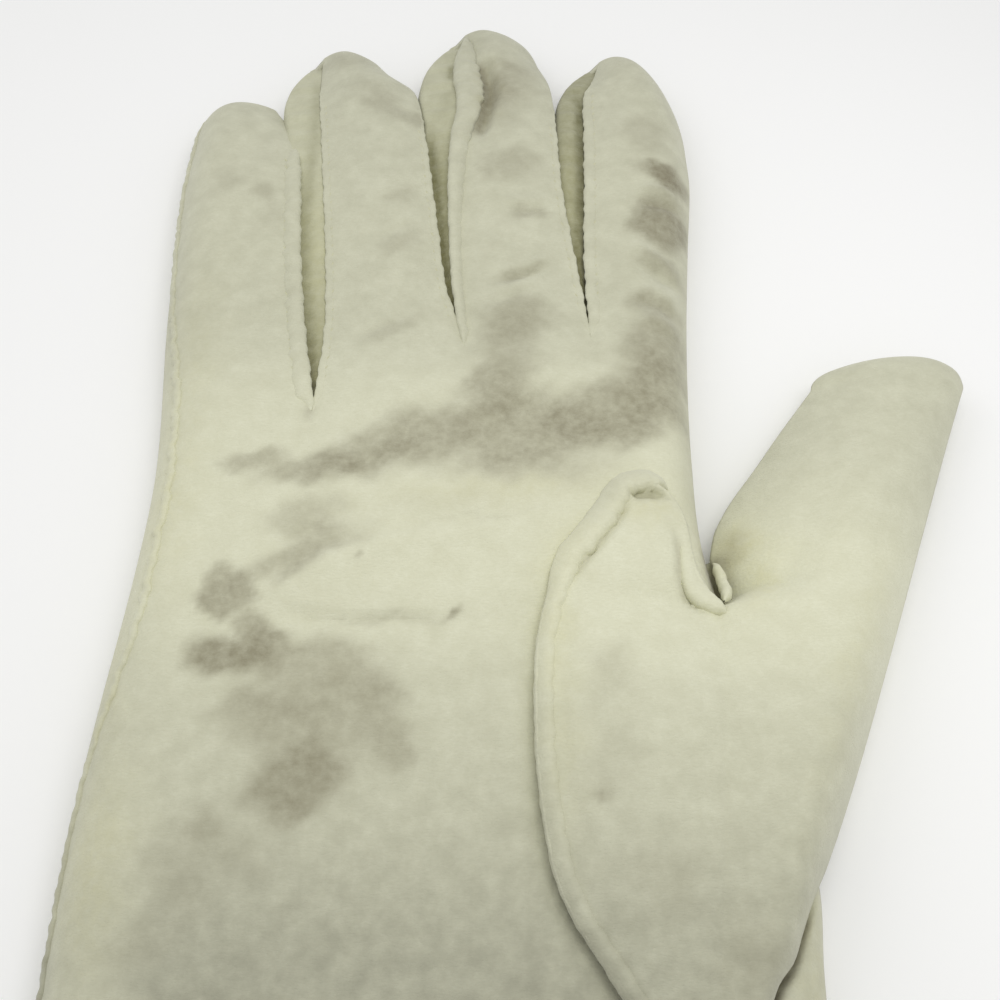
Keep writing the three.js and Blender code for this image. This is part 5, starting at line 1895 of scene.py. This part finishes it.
# For each slit: the shown leg's form, its furrow, how much darker it is painted above the crotch, which is
# painted shade of the narrow slit with some soiling, and its darker lines.
FOURCHETTES = (
    (SLOPED, Crease(((-23.9, 100), (-23.2, 86), (-22.8, 76), (-23.0, 66.7), (-22.7, 56.7), (-21.9, 44.9),
                     (-20.4, 33.7), (-18.9, 24.2), (-17.9, 15.0)), 1.3, 0.5, 6.0),
     SmoothLine(((0, 0.8), (7, 0.6), (18, 0.22), (36, 0.0), (90, 0.0)))),
    (SLOPED, Crease(((-1.6, 84), (-0.6, 73.2), (0.6, 62.9), (1.7, 53.1), (2.8, 43.8), (4.2, 36.0), (6.1, 29)),
                    1.0, 1.0, 9.0),
     SmoothLine(((0, 0.7), (12, 0.66), (26, 0.54), (40, 0.48), (54, 0.12), (84, 0.0))),
     (Crease(((2.2, 104), (2.2, 96)), 0.7, 0.6, 3.0), Crease(((2.4, 96), (0.5, 84)), 1.3, 0.16, 4.0))),
    (PILLOWED, Crease(((27.6, 97), (27.3, 82.6), (27.0, 69.3), (26.4, 59.2), (25.5, 50.5), (25.9, 44),
                       (26.7, 37), (27, 26.0)), 1.1, 1.0, 8.0),
     SmoothLine(((0, 0.8), (10, 0.7), (20, 0.42), (50, 0.44), (84, 0.62)))),
)


@dataclass
class Studio:
    """The plain pale floor, the soft light and the camera of the photograph."""

    target: tuple[float, float, float] = (12.0, 0.0, 8.0)
    distance: float = 194.4
    elevation: float = 58.0
    lens: float = 45.0
    sensor: float = 36.0
    clip: tuple[float, float] = (0.01, 20.0)
    floor_colour: str = "fbfbfa"
    floor_roughness: float = 0.9
    floor_half: float = 1.5
    floor_drop: float = 0.1
    surround: float = 0.66
    softboxes: tuple[tuple[str, tuple[float, ...], tuple[float, ...], float, float], ...] = (
        ("key_softbox", (75.0, 0.0, 260.0), (35.0, -15.0, 5.0), 170.0, 0.22),
        ("fill_softbox", (-200.0, 120.0, 300.0), (0.0, 0.0, 5.0), 240.0, 0.14))

    def build(self) -> None:
        """Makes the floor, the lights, the surrounding light and the camera."""
        self._floor()
        self._camera()
        world = bpy.data.worlds.new("soft_room")
        bpy.context.scene.world = world
        world.use_nodes = True
        background = world.node_tree.nodes["Background"]
        background.inputs["Color"].default_value = (1.0, 1.0, 1.0, 1.0)
        background.inputs["Strength"].default_value = self.surround
        for softbox in self.softboxes:
            self._light(*softbox)
        scene = bpy.context.scene
        scene.view_settings.view_transform = "Standard"
        scene.view_settings.look = "None"
        scene.view_settings.exposure = 0.0

    def _floor(self) -> None:
        """Makes a plain pale floor just under the glove."""
        material = bpy.data.materials.new("white_card")
        material.use_nodes = True
        shade = material.node_tree.nodes["Principled BSDF"]
        shade.inputs["Base Color"].default_value = linear(self.floor_colour)
        shade.inputs["Roughness"].default_value = self.floor_roughness
        half = self.floor_half
        corners = [(-half, -half, 0), (half, -half, 0), (half, half, 0), (-half, half, 0)]
        mesh = bpy.data.meshes.new("floor")
        mesh.from_pydata(corners, [], [(0, 1, 2, 3)])
        floor = bpy.data.objects.new("floor", mesh)
        floor.location.z = -self.floor_drop * MM
        mesh.materials.append(material)
        bpy.context.scene.collection.objects.link(floor)

    def _camera(self) -> None:
        """Places the camera on its line to the target, looking along +Y and down."""
        tilt = math.radians(self.elevation)
        forward = Vector((0.0, math.cos(tilt), -math.sin(tilt)))
        data = bpy.data.cameras.new("photo_camera")
        data.lens = self.lens
        data.sensor_width = self.sensor
        data.clip_start, data.clip_end = self.clip
        camera = bpy.data.objects.new("photo_camera", data)
        camera.location = (Vector(self.target) - forward * self.distance) * MM
        camera.rotation_euler = forward.to_track_quat("-Z", "Y").to_euler()
        bpy.context.scene.collection.objects.link(camera)
        bpy.context.scene.camera = camera

    def _light(self, name: str, place: tuple[float, ...], aim: tuple[float, ...], size: float,
               power: float) -> None:
        """Adds a square soft light.

        Args:
            name: The light's name.
            place: Its place in mm.
            aim: The point that it faces, in mm.
            size: Its side in mm.
            power: Its power in watts.
        """
        data = bpy.data.lights.new(name, "AREA")
        data.size = size * MM
        data.energy = power
        light = bpy.data.objects.new(name, data)
        light.location = Vector(place) * MM
        light.rotation_euler = (Vector(aim) - Vector(place)).to_track_quat("-Z", "Y").to_euler()
        light.visible_camera = False
        bpy.context.scene.collection.objects.link(light)


def main() -> None:
    """Builds the glove piece by piece, then the studio round it; each piece is reported as it is dressed."""
    suede = NappedCotton("suede_finished_cotton", "e1e1c8", "d0cfb2").build()
    # The fourchettes' cotton: its olive and yellow tints carry the slits' painted shade.
    yellow_tint = NappedCotton(
        "shaded_slit_cotton", "dfdfc2", "cdcca8", soil_and_shade_tint="76734a", yellow_tint="c4c184").build()
    thread = SewingCotton().build()
    hand = Hand()
    thumb = Thumb(hand)
    trank = Trank(hand, thumb)
    dress(trank.build(), suede, ("trank",))
    dress(thumb.build(), suede, ("thumb",))
    for number, slit in enumerate(hand.slits):
        wall = Fourchette(hand, number, *FOURCHETTES[number]).build()
        dress(wall, yellow_tint, (f"fourchette_{slit.name}",))
    welts, stitches = Seams(trank, thumb).build()
    for welt in welts:
        dress(welt, suede)
    dress(stitches, thread)
    Studio().build()


if __name__ == "__main__":
    logging.basicConfig(level=logging.INFO, format="%(message)s")
    main()
